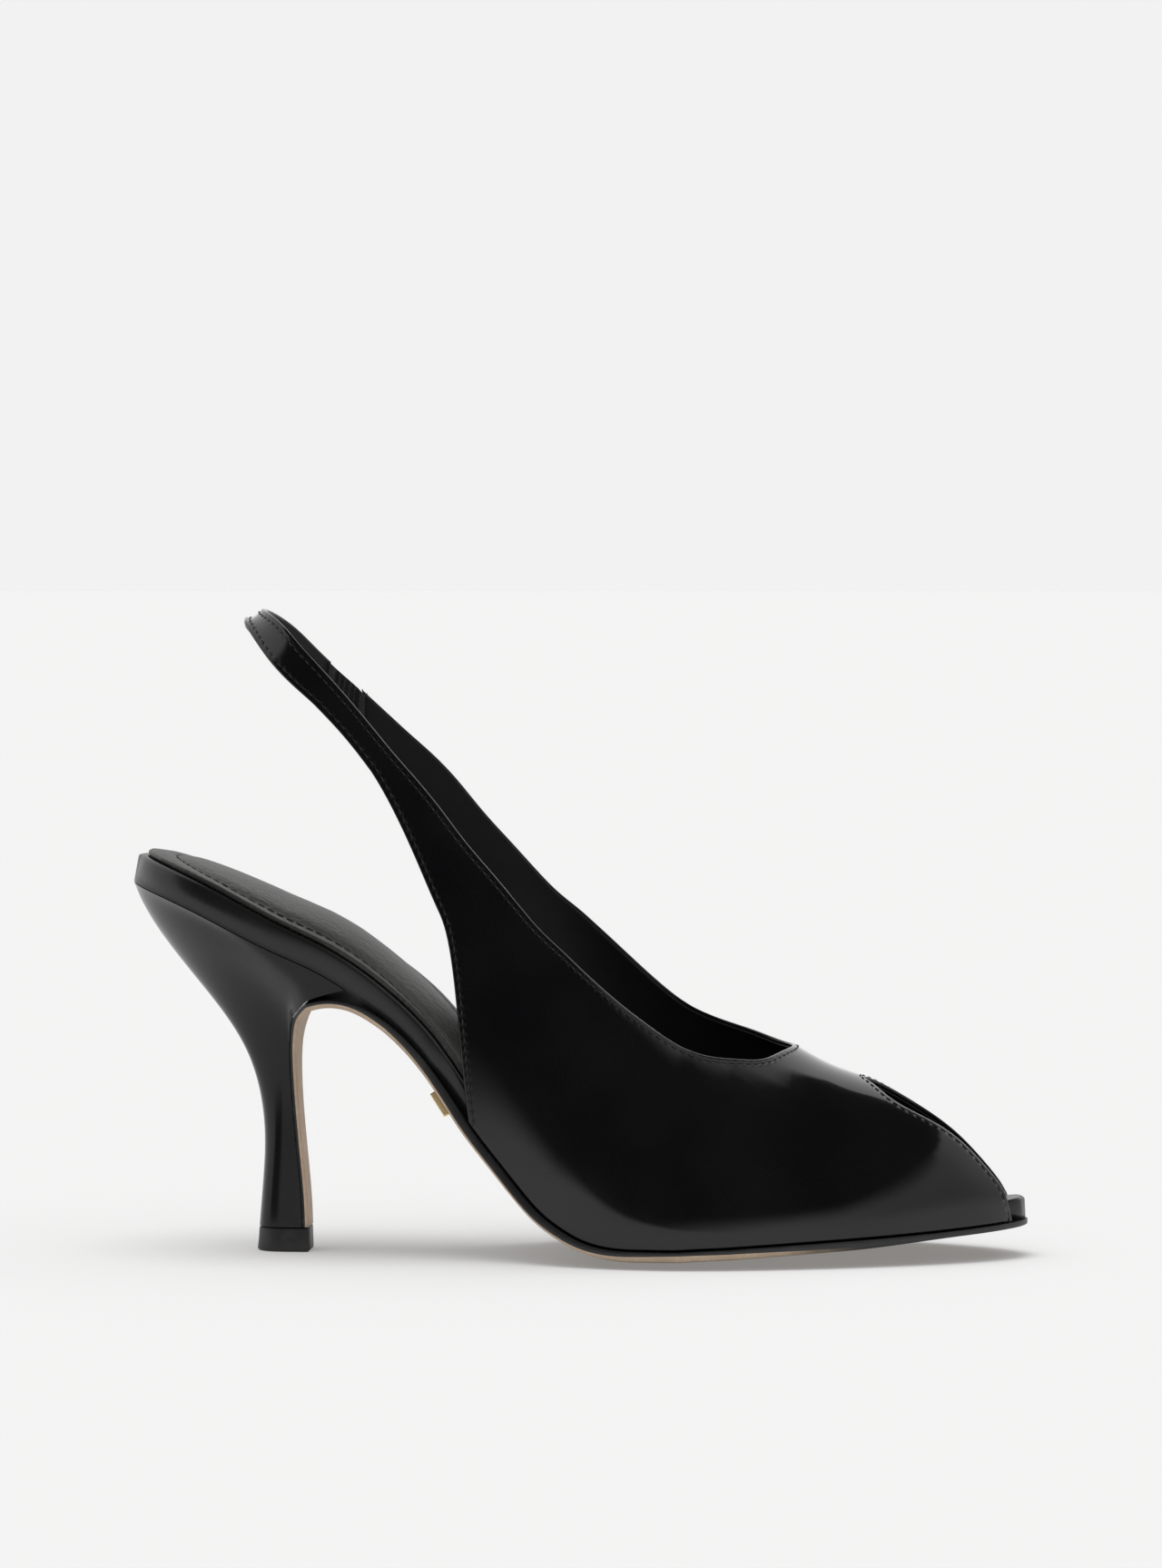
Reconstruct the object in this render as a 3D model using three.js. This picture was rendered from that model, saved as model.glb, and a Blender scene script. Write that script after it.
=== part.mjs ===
// A peep toe slingback pump for the right foot, with a slim covered heel.
// Millimetres. +X runs to the toe, +Y to the inner (medial) side of the foot, +Z up.
// The origin is the middle of the heel tip's floor face, and the shoe stands on z = 0.
import * as THREE from 'three';

// Driving sizes of the last
const SHOE_LENGTH = 217;
const BALL_WIDTH = 77;
const HEEL_HEIGHT = 90;
const HEEL_SETBACK = 36.5;
const INSTEP_HEIGHT = 47;
const TOE_SPRING = 6.6;
const EDGE_LIFT = 2;
const ARCH_LIFT = 5;

// Upper
const UPPER_WALL = 1.6;
const PEEP_WIDTH = 24;
const SLING_DEPTH = 27.5;
const SLING_LEAN = 4.6;
const GORE_LENGTH = 9;
const GORE_THICKNESS = 1.2;
const GORE_RECESS = 0.35;
const GORE_RIBS = 7;
const GORE_RIB_DEPTH = 0.35;

// Bottom parts
const SOLE_THICKNESS = 2.4;
const SOLE_BEVEL = 1.4;
const SOLE_EDGE = 0.4;
const FLAP_THICKNESS = 1.3;
const BOARD_THICKNESS = 7;
const BOARD_ROUNDING = 1;
const BOARD_SLACK = 0.2;
const SOCK_THICKNESS = 0.9;
const SOCK_CROWN = 4.2;
const SOCK_INSET = 1.5;
const SOCK_DRAWBACK = 3;
const TIP_LENGTH = 13;
const TIP_WIDTH = 11.4;
const TIP_HEIGHT = 5.7;
const TIP_FLARE = 0.4;
const TIP_ROUNDING = 0.5;
const TIP_BEVEL = 0.3;
const SEAT_INSET = 0.2;
const PLATE_LENGTH = 6.5;
const PLATE_WIDTH = 3;
const PLATE_THICKNESS = 1.4;
const PLATE_DROP = 0.75;
const PLATE_ALONG_SHARE = 0.3685;
const PLATE_ACROSS_SHARE = -0.78;

// Clearance between neighbouring pieces
const GAP = 0.3;

// Outline of the last seen from above. along: share of the length from the back of the seat.
// outer, inner: distance from the middle line, as shares of the ball width.
const OUTLINE = [
  { along: 0, outer: 0, inner: 0 },
  { along: 0.018, outer: 0.169, inner: 0.165 },
  { along: 0.05, outer: 0.26, inner: 0.252 },
  { along: 0.09, outer: 0.306, inner: 0.294 },
  { along: 0.14, outer: 0.325, inner: 0.31 },
  { along: 0.2, outer: 0.322, inner: 0.297 },
  { along: 0.26, outer: 0.304, inner: 0.262 },
  { along: 0.32, outer: 0.291, inner: 0.227 },
  { along: 0.37, outer: 0.299, inner: 0.214 },
  { along: 0.42, outer: 0.338, inner: 0.242 },
  { along: 0.47, outer: 0.397, inner: 0.314 },
  { along: 0.52, outer: 0.452, inner: 0.397 },
  { along: 0.57, outer: 0.49, inner: 0.462 },
  { along: 0.62, outer: 0.502, inner: 0.497 },
  { along: 0.67, outer: 0.489, inner: 0.505 },
  { along: 0.74, outer: 0.446, inner: 0.484 },
  { along: 0.81, outer: 0.381, inner: 0.431 },
  { along: 0.88, outer: 0.298, inner: 0.355 },
  { along: 0.94, outer: 0.204, inner: 0.258 },
  { along: 0.98, outer: 0.103, inner: 0.155 },
  { along: 1, outer: -0.026, inner: 0.026 },
];

// Bottom line of the last seen from the side. rise: share of the heel's height,
// spring: share of the toe spring, lift: share of the edge lift at both edges of the ball,
// arch: share of the extra height of the inner edge at the waist.
const PROFILE = [
  { along: 0, rise: 1, spring: 0, lift: 0, arch: 0 },
  { along: 0.035, rise: 0.972, spring: 0, lift: 0, arch: 0 },
  { along: 0.078, rise: 0.929, spring: 0, lift: 0, arch: 0 },
  { along: 0.122, rise: 0.876, spring: 0, lift: 0, arch: 0 },
  { along: 0.168, rise: 0.82, spring: 0, lift: 0, arch: 0.05 },
  { along: 0.214, rise: 0.768, spring: 0, lift: 0, arch: 0.2 },
  { along: 0.251, rise: 0.713, spring: 0, lift: 0, arch: 0.4 },
  { along: 0.288, rise: 0.644, spring: 0, lift: 0, arch: 0.65 },
  { along: 0.325, rise: 0.56, spring: 0, lift: 0, arch: 0.88 },
  { along: 0.3525, rise: 0.475, spring: 0, lift: 0, arch: 1 },
  { along: 0.385, rise: 0.355, spring: 0, lift: 0, arch: 0.97 },
  { along: 0.417, rise: 0.254, spring: 0, lift: 0.08, arch: 0.8 },
  { along: 0.4447, rise: 0.171, spring: 0, lift: 0.2, arch: 0.55 },
  { along: 0.477, rise: 0.084, spring: 0, lift: 0.45, arch: 0.25 },
  { along: 0.509, rise: 0.03, spring: 0, lift: 0.72, arch: 0.07 },
  { along: 0.54, rise: 0, spring: 0, lift: 0.92, arch: 0 },
  { along: 0.62, rise: 0, spring: 0, lift: 1, arch: 0 },
  { along: 0.675, rise: 0, spring: 0.1, lift: 0.97, arch: 0 },
  { along: 0.74, rise: 0, spring: 0.25, lift: 0.87, arch: 0 },
  { along: 0.81, rise: 0, spring: 0.43, lift: 0.65, arch: 0 },
  { along: 0.88, rise: 0, spring: 0.63, lift: 0.4, arch: 0 },
  { along: 0.94, rise: 0, spring: 0.82, lift: 0.18, arch: 0 },
  { along: 1, rise: 0, spring: 1, lift: 0, arch: 0 },
];

// Cross-sections of the last above its bottom line. ridge: height, as a share of the instep height.
// shift: how far the ridge lies to the inner side, as a share of the ball width.
// side: how tall the wall stands before it turns in, as a share of the ridge. lean: how far the wall
// bulges, and crown: how wide the top stays, as shares of the half width. Outer side, then inner.
const SECTIONS = [
  { along: 0.251, ridge: 2.4, shift: 0, side: [0.55, 0.55], lean: [1.05, 1.15], crown: [1.15, 1.4] },
  { along: 0.325, ridge: 2.26, shift: 0.01, side: [0.52, 0.52], lean: [1.1, 1.4], crown: [1.3, 1.75] },
  { along: 0.385, ridge: 2.24, shift: 0.02, side: [0.5, 0.5], lean: [1.1, 1.45], crown: [1.3, 1.85] },
  { along: 0.445, ridge: 2.14, shift: 0.035, side: [0.48, 0.5], lean: [1.06, 1.2], crown: [1.08, 1.46] },
  { along: 0.509, ridge: 1.94, shift: 0.05, side: [0.46, 0.5], lean: [1.03, 1.07], crown: [0.88, 1] },
  { along: 0.569, ridge: 1.68, shift: 0.06, side: [0.45, 0.5], lean: [1.02, 1.02], crown: [0.66, 0.76] },
  { along: 0.629, ridge: 1.4, shift: 0.065, side: [0.45, 0.52], lean: [1.02, 1.02], crown: [0.53, 0.68] },
  { along: 0.684, ridge: 1.18, shift: 0.065, side: [0.46, 0.54], lean: [1.02, 1.02], crown: [0.48, 0.64] },
  { along: 0.74, ridge: 0.985, shift: 0.062, side: [0.48, 0.56], lean: [1.02, 1.02], crown: [0.45, 0.6] },
  { along: 0.78, ridge: 0.87, shift: 0.058, side: [0.5, 0.58], lean: [1.02, 1.02], crown: [0.45, 0.58] },
  { along: 0.82, ridge: 0.79, shift: 0.052, side: [0.53, 0.6], lean: [1.02, 1.02], crown: [0.47, 0.58] },
  { along: 0.88, ridge: 0.655, shift: 0.045, side: [0.6, 0.62], lean: [1.02, 1.02], crown: [0.55, 0.54] },
  { along: 0.925, ridge: 0.515, shift: 0.036, side: [0.66, 0.62], lean: [1.02, 1.02], crown: [0.66, 0.5] },
  { along: 0.96, ridge: 0.34, shift: 0.03, side: [0.7, 0.64], lean: [1.02, 1.02], crown: [0.75, 0.54] },
  { along: 1, ridge: 0.02, shift: 0.026, side: [0.7, 0.7], lean: [1.02, 1.02], crown: [0.75, 0.6] },
];

// Top edge of the upper from the back of the sling to the front of the throat.
// height: above the bottom line at the outer and inner side, as shares of the instep height.
const TOPLINE = [
  { along: 0.144, height: [1.7, 1.7] },
  { along: 0.17, height: [1.69, 1.658] },
  { along: 0.2, height: [1.615, 1.572] },
  { along: 0.251, height: [1.51, 1.49] },
  { along: 0.3065, height: [1.4, 1.458] },
  { along: 0.352, height: [1.395, 1.495] },
  { along: 0.39, height: [1.43, 1.545] },
  { along: 0.4447, height: [1.45, 1.58] },
  { along: 0.504, height: [1.415, 1.575] },
  { along: 0.555, height: [1.275, 1.43] },
  { along: 0.6, height: [1.12, 1.25] },
  { along: 0.645, height: [1.005, 1.13] },
  { along: 0.685, height: [0.965, 1.065] },
  { along: 0.715, height: [0.955, 1.012] },
  { along: 0.73, height: [0.975, 0.99] },
  { along: 0.74, height: [0.985, 0.985] },
];

// Lower edge of sling and quarter, from the back of the sling to the corner on the sole.
// height: above the bottom line, as a share of the instep height.
const QUARTER_EDGE = [
  { along: 0.125, height: 1.6 },
  { along: 0.16, height: 1.47 },
  { along: 0.2, height: 1.38 },
  { along: 0.251, height: 1.29 },
  { along: 0.29, height: 1.17 },
  { along: 0.33, height: 0.965 },
  { along: 0.352, height: 0.86 },
  { along: 0.371, height: 0.6 },
  { along: 0.379, height: 0.26 },
  { along: 0.386, height: 0 },
];

// Toe opening. half: its reach to the outer and inner side of the ridge, as shares of its width.
const PEEP = [
  { along: 0.82, half: [0, 0] },
  { along: 0.832, half: [0.2, 0.17] },
  { along: 0.85, half: [0.38, 0.3] },
  { along: 0.88, half: [0.46, 0.4] },
  { along: 0.92, half: [0.47, 0.44] },
  { along: 0.955, half: [0.45, 0.43] },
  { along: 0.986, half: [0.365, 0.36] },
];

// Heel between the tip (0) and the seat (1). back, front: how far the ring's back and front have
// moved out, backRise, frontRise: how far they have risen, width: how far the ring has widened.
const HEEL_RINGS = [
  { back: 0, backRise: 0, front: 0, frontRise: 0, width: 0 },
  { back: -0.025, backRise: 0.11, front: -0.03, frontRise: 0.136, width: -0.015 },
  { back: -0.045, backRise: 0.25, front: -0.11, frontRise: 0.32, width: -0.022 },
  { back: -0.01, backRise: 0.382, front: -0.18, frontRise: 0.49, width: -0.012 },
  { back: 0.08, backRise: 0.49, front: -0.215, frontRise: 0.63, width: 0.035 },
  { back: 0.222, backRise: 0.585, front: -0.21, frontRise: 0.74, width: 0.15 },
  { back: 0.418, backRise: 0.681, front: -0.16, frontRise: 0.82, width: 0.34 },
  { back: 0.63, backRise: 0.777, front: -0.06, frontRise: 0.88, width: 0.56 },
  { back: 0.822, backRise: 0.872, front: 0.14, frontRise: 0.93, width: 0.78 },
  { back: 0.945, backRise: 0.95, front: 0.42, frontRise: 0.965, width: 0.93 },
  { back: 1, backRise: 1, front: 1, frontRise: 1, width: 1 },
];

const INNER = 1;
const OUTER = -1;

/** Natural cubic curve through one named column of a table: key spaces the rows, pick reads a cell. */
function curve(rows, column, key = (along) => along, pick = (cell) => cell) {
  const at = rows.map((row) => key(row.along));
  const value = rows.map((row) => pick(row[column]));
  const last = rows.length - 1;
  const bend = new Array(rows.length).fill(0);
  const scratch = new Array(rows.length).fill(0);
  for (let i = 1; i < last; i += 1) {
    const left = at[i] - at[i - 1];
    const right = at[i + 1] - at[i];
    const pivot = 2 * (left + right) - left * scratch[i - 1];
    const step = (value[i + 1] - value[i]) / right - (value[i] - value[i - 1]) / left;
    scratch[i] = right / pivot;
    bend[i] = (6 * step - left * bend[i - 1]) / pivot;
  }
  for (let i = last - 1; i > 0; i -= 1) {
    bend[i] -= scratch[i] * bend[i + 1];
  }
  return (along) => {
    const x = THREE.MathUtils.clamp(key(along), at[0], at[last]);
    let i = 0;
    while (i < last - 1 && x > at[i + 1]) {
      i += 1;
    }
    const width = at[i + 1] - at[i];
    const a = (at[i + 1] - x) / width;
    const b = (x - at[i]) / width;
    const bow = ((a ** 3 - a) * bend[i] + (b ** 3 - b) * bend[i + 1]) * (width ** 2 / 6);
    return a * value[i] + b * value[i + 1] + bow;
  };
}

/** Curves for both sides through a column whose cells hold an outer and an inner value. */
function sideCurves(rows, column, key) {
  return {
    [OUTER]: curve(rows, column, key, (cell) => cell[0]),
    [INNER]: curve(rows, column, key, (cell) => cell[1]),
  };
}

/** Spaces the shares of the length like the angle round a circle, so both ends come out round. */
const roundKey = (along) => Math.acos(THREE.MathUtils.clamp(1 - 2 * along, -1, 1));

const mix = THREE.MathUtils.lerp;
const alongToX = (along) => along * SHOE_LENGTH - HEEL_SETBACK;
const xToAlong = (x) => (x + HEEL_SETBACK) / SHOE_LENGTH;

const outlineOuter = curve(OUTLINE, 'outer', roundKey);
const outlineInner = curve(OUTLINE, 'inner', roundKey);
const profileRise = curve(PROFILE, 'rise');
const profileSpring = curve(PROFILE, 'spring');
const profileLift = curve(PROFILE, 'lift');
const profileArch = curve(PROFILE, 'arch');

const BALL_LEVEL = SOLE_THICKNESS + GAP;

/** Height of the last's bottom line above the floor, on the middle line. */
function bottomLine(along) {
  const rise = Math.max(0, profileRise(along)) * (HEEL_HEIGHT + GAP - BALL_LEVEL);
  return BALL_LEVEL + rise + Math.max(0, profileSpring(along)) * TOE_SPRING;
}

/** Half width of the last on one side. */
function halfWidth(side, along) {
  return BALL_WIDTH * (side === INNER ? outlineInner(along) : outlineOuter(along));
}

/** Extra height of a bottom point, across from -1 at the outer edge to 1 at the inner edge. */
function crossLift(along, across) {
  const flat = 0.36;
  const toEdge = Math.max(0, Math.abs(across) - flat) / (1 - flat);
  const arch = ARCH_LIFT * Math.max(0, profileArch(along)) * (across + 1) / 2;
  return EDGE_LIFT * Math.max(0, profileLift(along)) * toEdge ** 2 + arch;
}

/** Upward normal of the bottom line in the side view. */
function bottomNormal(along) {
  const reach = 0.002;
  const run = 2 * reach * SHOE_LENGTH;
  const slope = (bottomLine(along + reach) - bottomLine(along - reach)) / run;
  return new THREE.Vector3(-slope, 0, 1).normalize();
}

/** Point of the outline from above at an angle from the back (0) to the toe (pi), moved in by inset. */
function outlinePoint(side, angle, inset) {
  const place = (a) => {
    const along = (1 - Math.cos(a)) / 2;
    return new THREE.Vector2(alongToX(along), side * halfWidth(side, along));
  };
  const reach = 0.004;
  const before = place(Math.max(0, angle - reach));
  const after = place(Math.min(Math.PI, angle + reach));
  const forward = after.sub(before).normalize();
  const inward = new THREE.Vector2(side * forward.y, -side * forward.x);
  return place(angle).addScaledVector(inward, inset);
}

/** One ring round a bottom piece: loop lists points by across, up and inset. */
function bottomRing(angle, loop) {
  return loop.map(({ across, up, inset }) => {
    const outer = outlinePoint(OUTER, angle, inset);
    const inner = outlinePoint(INNER, angle, inset);
    const flat = outer.lerp(inner, (across + 1) / 2);
    const along = xToAlong(flat.x);
    const height = bottomLine(along) + crossLift(along, across);
    return new THREE.Vector3(flat.x, flat.y, height).addScaledVector(bottomNormal(along), up);
  });
}

/** Closed solid through rings of equal length, with both ends closed straight across. */
function loft(rings) {
  const count = rings[0].length;
  const faces = [];
  for (let i = 0; i < rings.length - 1; i += 1) {
    for (let j = 0; j < count; j += 1) {
      const next = (j + 1) % count;
      const a = i * count + j;
      const b = i * count + next;
      faces.push([a, b, b + count], [a, b + count, a + count]);
    }
  }
  const cap = (start, flip) => {
    for (let i = 0; i < Math.floor(count / 2); i += 1) {
      const far = count - 1 - i;
      const quad = [i, i + 1, far - 1, far].map((k) => k + start);
      const parts = [[quad[0], quad[1], quad[3]], [quad[1], quad[2], quad[3]]];
      parts.filter((f) => new Set(f).size === 3).forEach((f) => {
        faces.push(flip ? f.reverse() : f);
      });
    }
  };
  cap(0, true);
  cap((rings.length - 1) * count, false);
  return solid(rings.flat(), faces);
}

/** Geometry of a closed mesh, turned so that its faces point out. */
function solid(points, faces) {
  let volume = 0;
  faces.forEach(([a, b, c]) => {
    volume += points[a].dot(points[b].clone().cross(points[c]));
  });
  const geometry = new THREE.BufferGeometry();
  geometry.setFromPoints(points);
  geometry.setIndex(faces.flatMap((face) => (volume > 0 ? face : [face[0], face[2], face[1]])));
  geometry.computeVertexNormals();
  return geometry;
}

/** Evenly spaced values from first to last. */
function stations(count, first, last) {
  return Array.from({ length: count }, (_, i) => mix(first, last, i / (count - 1)));
}

const ACROSS = [-1, -0.86, -0.62, -0.36, 0, 0.36, 0.62, 0.86, 1];
const TIP_ANGLE = 0.07;

// Outsole: forefoot and waist follow the last, then the flap covers the heel breast
const WAIST_END_SHARE = 0.249;
const BREAST_TURN_SHARE = 0.006;
const SOLE_RINGS = 34;
const TAPER_START_SHARE = 0.8;
const TAPER_END_SHARE = 0.94;
const TAPER_SHARE = 0.36;
const FLAP_THINNING_ROWS = 5;

/** Cross-section of a bottom layer of even thickness below the last's bottom line. */
function soleLoop() {
  const top = ACROSS.map((across) => ({ across, up: -GAP, inset: -SOLE_EDGE }));
  const edge = { up: -GAP - (SOLE_THICKNESS - SOLE_BEVEL), inset: -SOLE_EDGE };
  const bottom = ACROSS.map((across) => ({
    across,
    up: -GAP - SOLE_THICKNESS,
    inset: SOLE_BEVEL - SOLE_EDGE,
  }));
  return [...top, { across: 1, ...edge }, ...bottom.reverse(), { across: -1, ...edge }];
}

const seatBack = alongToX(0) + SOLE_EDGE;
const seatFront = alongToX(WAIST_END_SHARE);
const tipBack = -TIP_LENGTH / 2 + TIP_FLARE;
const tipFront = TIP_LENGTH / 2 - FLAP_THICKNESS - GAP;

// The back of the heel and its tip is round over this share of the depth, then runs straight
const ROUND_SHARE = 0.52;
const ROUND_STEPS = 8;
const STRAIGHT_STEPS = 5;

/** Shares of a heel ring from its back (0) to its front (1). */
function heelShares() {
  const round = stations(ROUND_STEPS + 1, 0, Math.PI / 2);
  const straight = stations(STRAIGHT_STEPS + 1, ROUND_SHARE, 1).slice(1);
  return [...round.map((angle) => ROUND_SHARE * (1 - Math.cos(angle))), ...straight];
}

/** Half width of the tip at a share from its back (0) to its front (1). */
function tipHalfWidth(share) {
  const round = Math.min(1, share / ROUND_SHARE);
  return (TIP_WIDTH / 2) * Math.sqrt(1 - (1 - round) ** 2);
}

/** Ring of the heel at one row of its table, from the outer front round the back to the inner front. */
function heelRing(row) {
  const shares = heelShares();
  const point = (side, share) => {
    const seatX = mix(seatBack, seatFront, share);
    const along = xToAlong(seatX);
    const tipX = mix(tipBack, tipFront, share);
    const x = mix(tipX, seatX, mix(row.back, row.front, share));
    const seatHalf = Math.max(0, halfWidth(side, along) - SEAT_INSET);
    const tipHalf = tipHalfWidth(share) - TIP_FLARE;
    const y = side * Math.max(0, mix(tipHalf, seatHalf, row.width));
    const rise = mix(row.backRise, row.frontRise, share);
    const seatZ = bottomLine(along) + crossLift(along, share === 0 ? 0 : side) - GAP;
    return new THREE.Vector3(x, share === 0 ? 0 : y, mix(TIP_HEIGHT + GAP, seatZ, rise));
  };
  const outer = shares.map((share) => point(OUTER, share)).reverse();
  const inner = shares.slice(1).map((share) => point(INNER, share));
  return [...outer, ...inner];
}

const heelRings = HEEL_RINGS.map(heelRing);

/** The heel breast from the seat down to the tip: its front corners at each ring. */
function breastStations() {
  return heelRings.map((ring) => ({ outer: ring[0], inner: ring[ring.length - 1] })).reverse();
}

function outsoleRings() {
  const loop = soleLoop();
  const first = roundKey(WAIST_END_SHARE + BREAST_TURN_SHARE);
  const rings = stations(SOLE_RINGS, first, Math.PI - TIP_ANGLE).map((angle) => {
    const along = (1 - Math.cos(angle)) / 2;
    const taper = THREE.MathUtils.smoothstep(along, TAPER_START_SHARE, TAPER_END_SHARE);
    const rest = 1 - TAPER_SHARE * taper;
    return bottomRing(angle, loop.map((row) => ({ ...row, up: (row.up + GAP) * rest - GAP })));
  });
  const breast = breastStations();
  const middle = breast.map(({ outer, inner }) => outer.clone().add(inner).multiplyScalar(0.5));
  const flap = breast.slice(1).map((corner, i) => {
    const here = i + 1;
    const below = middle[Math.min(here + 1, middle.length - 1)];
    const path = middle[here - 1].clone().sub(below);
    const toHeel = new THREE.Vector3(-path.z, 0, path.x).normalize();
    const share = Math.min(1, here / FLAP_THINNING_ROWS);
    const depth = mix(SOLE_THICKNESS, FLAP_THICKNESS, share);
    return loop.map(({ across, up, inset }) => {
      const level = (up + GAP) / SOLE_THICKNESS;
      const narrow = inset > 0 ? inset * 0.5 : inset * (1 - share);
      const place = corner.outer.clone().lerp(corner.inner, (across + 1) / 2);
      place.y -= across * narrow;
      return place.addScaledVector(toHeel, level * depth - GAP);
    });
  });
  return [...flap.reverse(), ...rings];
}

// Insole board and sock along the last. covered: how much of the upper's wall stands outside the
// board, thin: how far the board has thinned, crown: how full the sock's padding is, toe: how far
// the sock has drawn back from the toe, as shares.
const LAYERS = [
  { along: 0, covered: 0, thin: 0, crown: 0, toe: 0 },
  { along: 0.02, covered: 0, thin: 0.02, crown: 0.2, toe: 0 },
  { along: 0.05, covered: 0, thin: 0.05, crown: 0.4, toe: 0 },
  { along: 0.09, covered: 0, thin: 0.1, crown: 0.63, toe: 0 },
  { along: 0.13, covered: 0, thin: 0.17, crown: 0.85, toe: 0 },
  { along: 0.17, covered: 0, thin: 0.24, crown: 0.98, toe: 0 },
  { along: 0.2, covered: 0, thin: 0.3, crown: 0.98, toe: 0 },
  { along: 0.23, covered: 0, thin: 0.37, crown: 0.85, toe: 0 },
  { along: 0.26, covered: 0, thin: 0.45, crown: 0.62, toe: 0 },
  { along: 0.29, covered: 0, thin: 0.56, crown: 0.38, toe: 0 },
  { along: 0.32, covered: 0, thin: 0.72, crown: 0.19, toe: 0 },
  { along: 0.345, covered: 0, thin: 0.85, crown: 0.08, toe: 0 },
  { along: 0.375, covered: 1, thin: 1, crown: 0, toe: 0 },
  { along: 0.93, covered: 1, thin: 1, crown: 0, toe: 0 },
  { along: 0.985, covered: 1, thin: 0.8, crown: 0, toe: 1 },
  { along: 0.996, covered: 0, thin: 0.65, crown: 0, toe: 1 },
  { along: 1, covered: 0, thin: 0.65, crown: 0, toe: 1 },
];
const THINNING_SHARE = 0.4;
const LAYER_RINGS = 44;
const CORNER_CUT_SHARE = 0.3;

/** Value of one column of the layer table, straight between its rows. */
function layerShare(column, angle) {
  const along = (1 - Math.cos(angle)) / 2;
  const next = Math.max(1, LAYERS.findIndex((row) => row.along >= along));
  const before = LAYERS[next - 1];
  const after = LAYERS[next];
  return THREE.MathUtils.mapLinear(along, before.along, after.along, before[column], after[column]);
}

/** How far the board is set in from the last: its edge shows behind the quarters and at the toe. */
function boardInset(angle) {
  return (UPPER_WALL + GAP + BOARD_SLACK) * layerShare('covered', angle);
}

/** Cross-section of a layer with rounded upper edges, fuller in its middle by the crown. */
function layerLoop(low, high, rounding, inset, crown) {
  const bottom = ACROSS.map((across) => ({ across, up: low, inset }));
  const top = ACROSS.map((across) => {
    return { across, up: high + crown * (1 - across ** 2), inset: inset + rounding };
  });
  const edge = { up: high - rounding, inset };
  const cut = rounding * CORNER_CUT_SHARE;
  const shoulder = { up: high - cut, inset: inset + cut };
  return [
    ...bottom,
    { across: 1, ...edge },
    { across: 1, ...shoulder },
    ...top.reverse(),
    { across: -1, ...shoulder },
    { across: -1, ...edge },
  ];
}

/** Thickness of the board, thinner under the ball. */
function boardThickness(angle) {
  return BOARD_THICKNESS * (1 - THINNING_SHARE * layerShare('thin', angle));
}

function boardRings() {
  return stations(LAYER_RINGS, TIP_ANGLE, Math.PI - TIP_ANGLE).map((angle) => {
    const loop = layerLoop(0, boardThickness(angle), BOARD_ROUNDING, boardInset(angle), 0);
    return bottomRing(angle, loop);
  });
}

function sockRings() {
  return stations(LAYER_RINGS, TIP_ANGLE, Math.PI - TIP_ANGLE).map((angle) => {
    const low = boardThickness(angle) + GAP;
    const high = low + SOCK_THICKNESS;
    const inset = boardInset(angle) + SOCK_INSET + SOCK_DRAWBACK * layerShare('toe', angle);
    const crown = SOCK_CROWN * layerShare('crown', angle);
    return bottomRing(angle, layerLoop(low, high, SOCK_THICKNESS / 2, inset, crown));
  });
}

// Upper
const SLING_AXIS_SHARE = 0.251;
const THROAT = TOPLINE[TOPLINE.length - 1].along;
const PEEP_START = PEEP[0].along;
const FLAP_END = PEEP[PEEP.length - 1].along;
const CORNER = QUARTER_EDGE[QUARTER_EDGE.length - 1].along;
const ridgeShare = curve(SECTIONS, 'ridge', roundKey);
const ridgeShift = curve(SECTIONS, 'shift', roundKey);
const sideShare = sideCurves(SECTIONS, 'side', roundKey);
const leanShare = sideCurves(SECTIONS, 'lean', roundKey);
const crownShare = sideCurves(SECTIONS, 'crown', roundKey);
const toplineHeight = sideCurves(TOPLINE, 'height');
const quarterHeight = curve(QUARTER_EDGE, 'height');
const peepHalf = sideCurves(PEEP, 'half', (along) => Math.sqrt(Math.max(0, along - PEEP_START)));

/** Cubic arc from 0 to 1 with its two inner weights. */
function arc(share, start, second, third, end) {
  const rest = 1 - share;
  const inner = 3 * rest * share * (rest * second + share * third);
  return rest ** 3 * start + inner + share ** 3 * end;
}

/** Point of the last's section: share runs from the sole (0) to the ridge (1). */
function sectionPoint(side, along, share) {
  const ridge = INSTEP_HEIGHT * ridgeShare(along);
  const shift = BALL_WIDTH * ridgeShift(along);
  const reach = halfWidth(side, along) - side * shift;
  const out = arc(share, 1, leanShare[side](along), crownShare[side](along), 0) * reach;
  const up = arc(share, 0, sideShare[side](along), 1, 1) * ridge;
  const edge = crossLift(along, side) * (1 - share);
  return new THREE.Vector3(alongToX(along), shift + side * out, bottomLine(along) + edge + up);
}

/** Share of the section at which test turns true, found by halving. */
function findShare(test) {
  let low = 0;
  let high = 1;
  for (let i = 0; i < 40; i += 1) {
    const middle = (low + high) / 2;
    if (test(middle)) {
      high = middle;
    } else {
      low = middle;
    }
  }
  return high;
}

/** Share of the section at a height above the bottom line. */
function shareAtHeight(side, along, height) {
  const level = bottomLine(along) + height;
  return findShare((share) => sectionPoint(side, along, share).z >= level);
}

/** Share of the section at the upper's top edge: toe opening, closed vamp or topline. */
function topShare(side, along) {
  if (along < THROAT) {
    return shareAtHeight(side, along, INSTEP_HEIGHT * toplineHeight[side](along));
  }
  if (along <= PEEP_START) {
    return 1;
  }
  const half = PEEP_WIDTH * peepHalf[side](along);
  const shift = BALL_WIDTH * ridgeShift(along);
  return findShare((share) => Math.abs(sectionPoint(side, along, share).y - shift) <= half);
}

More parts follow.
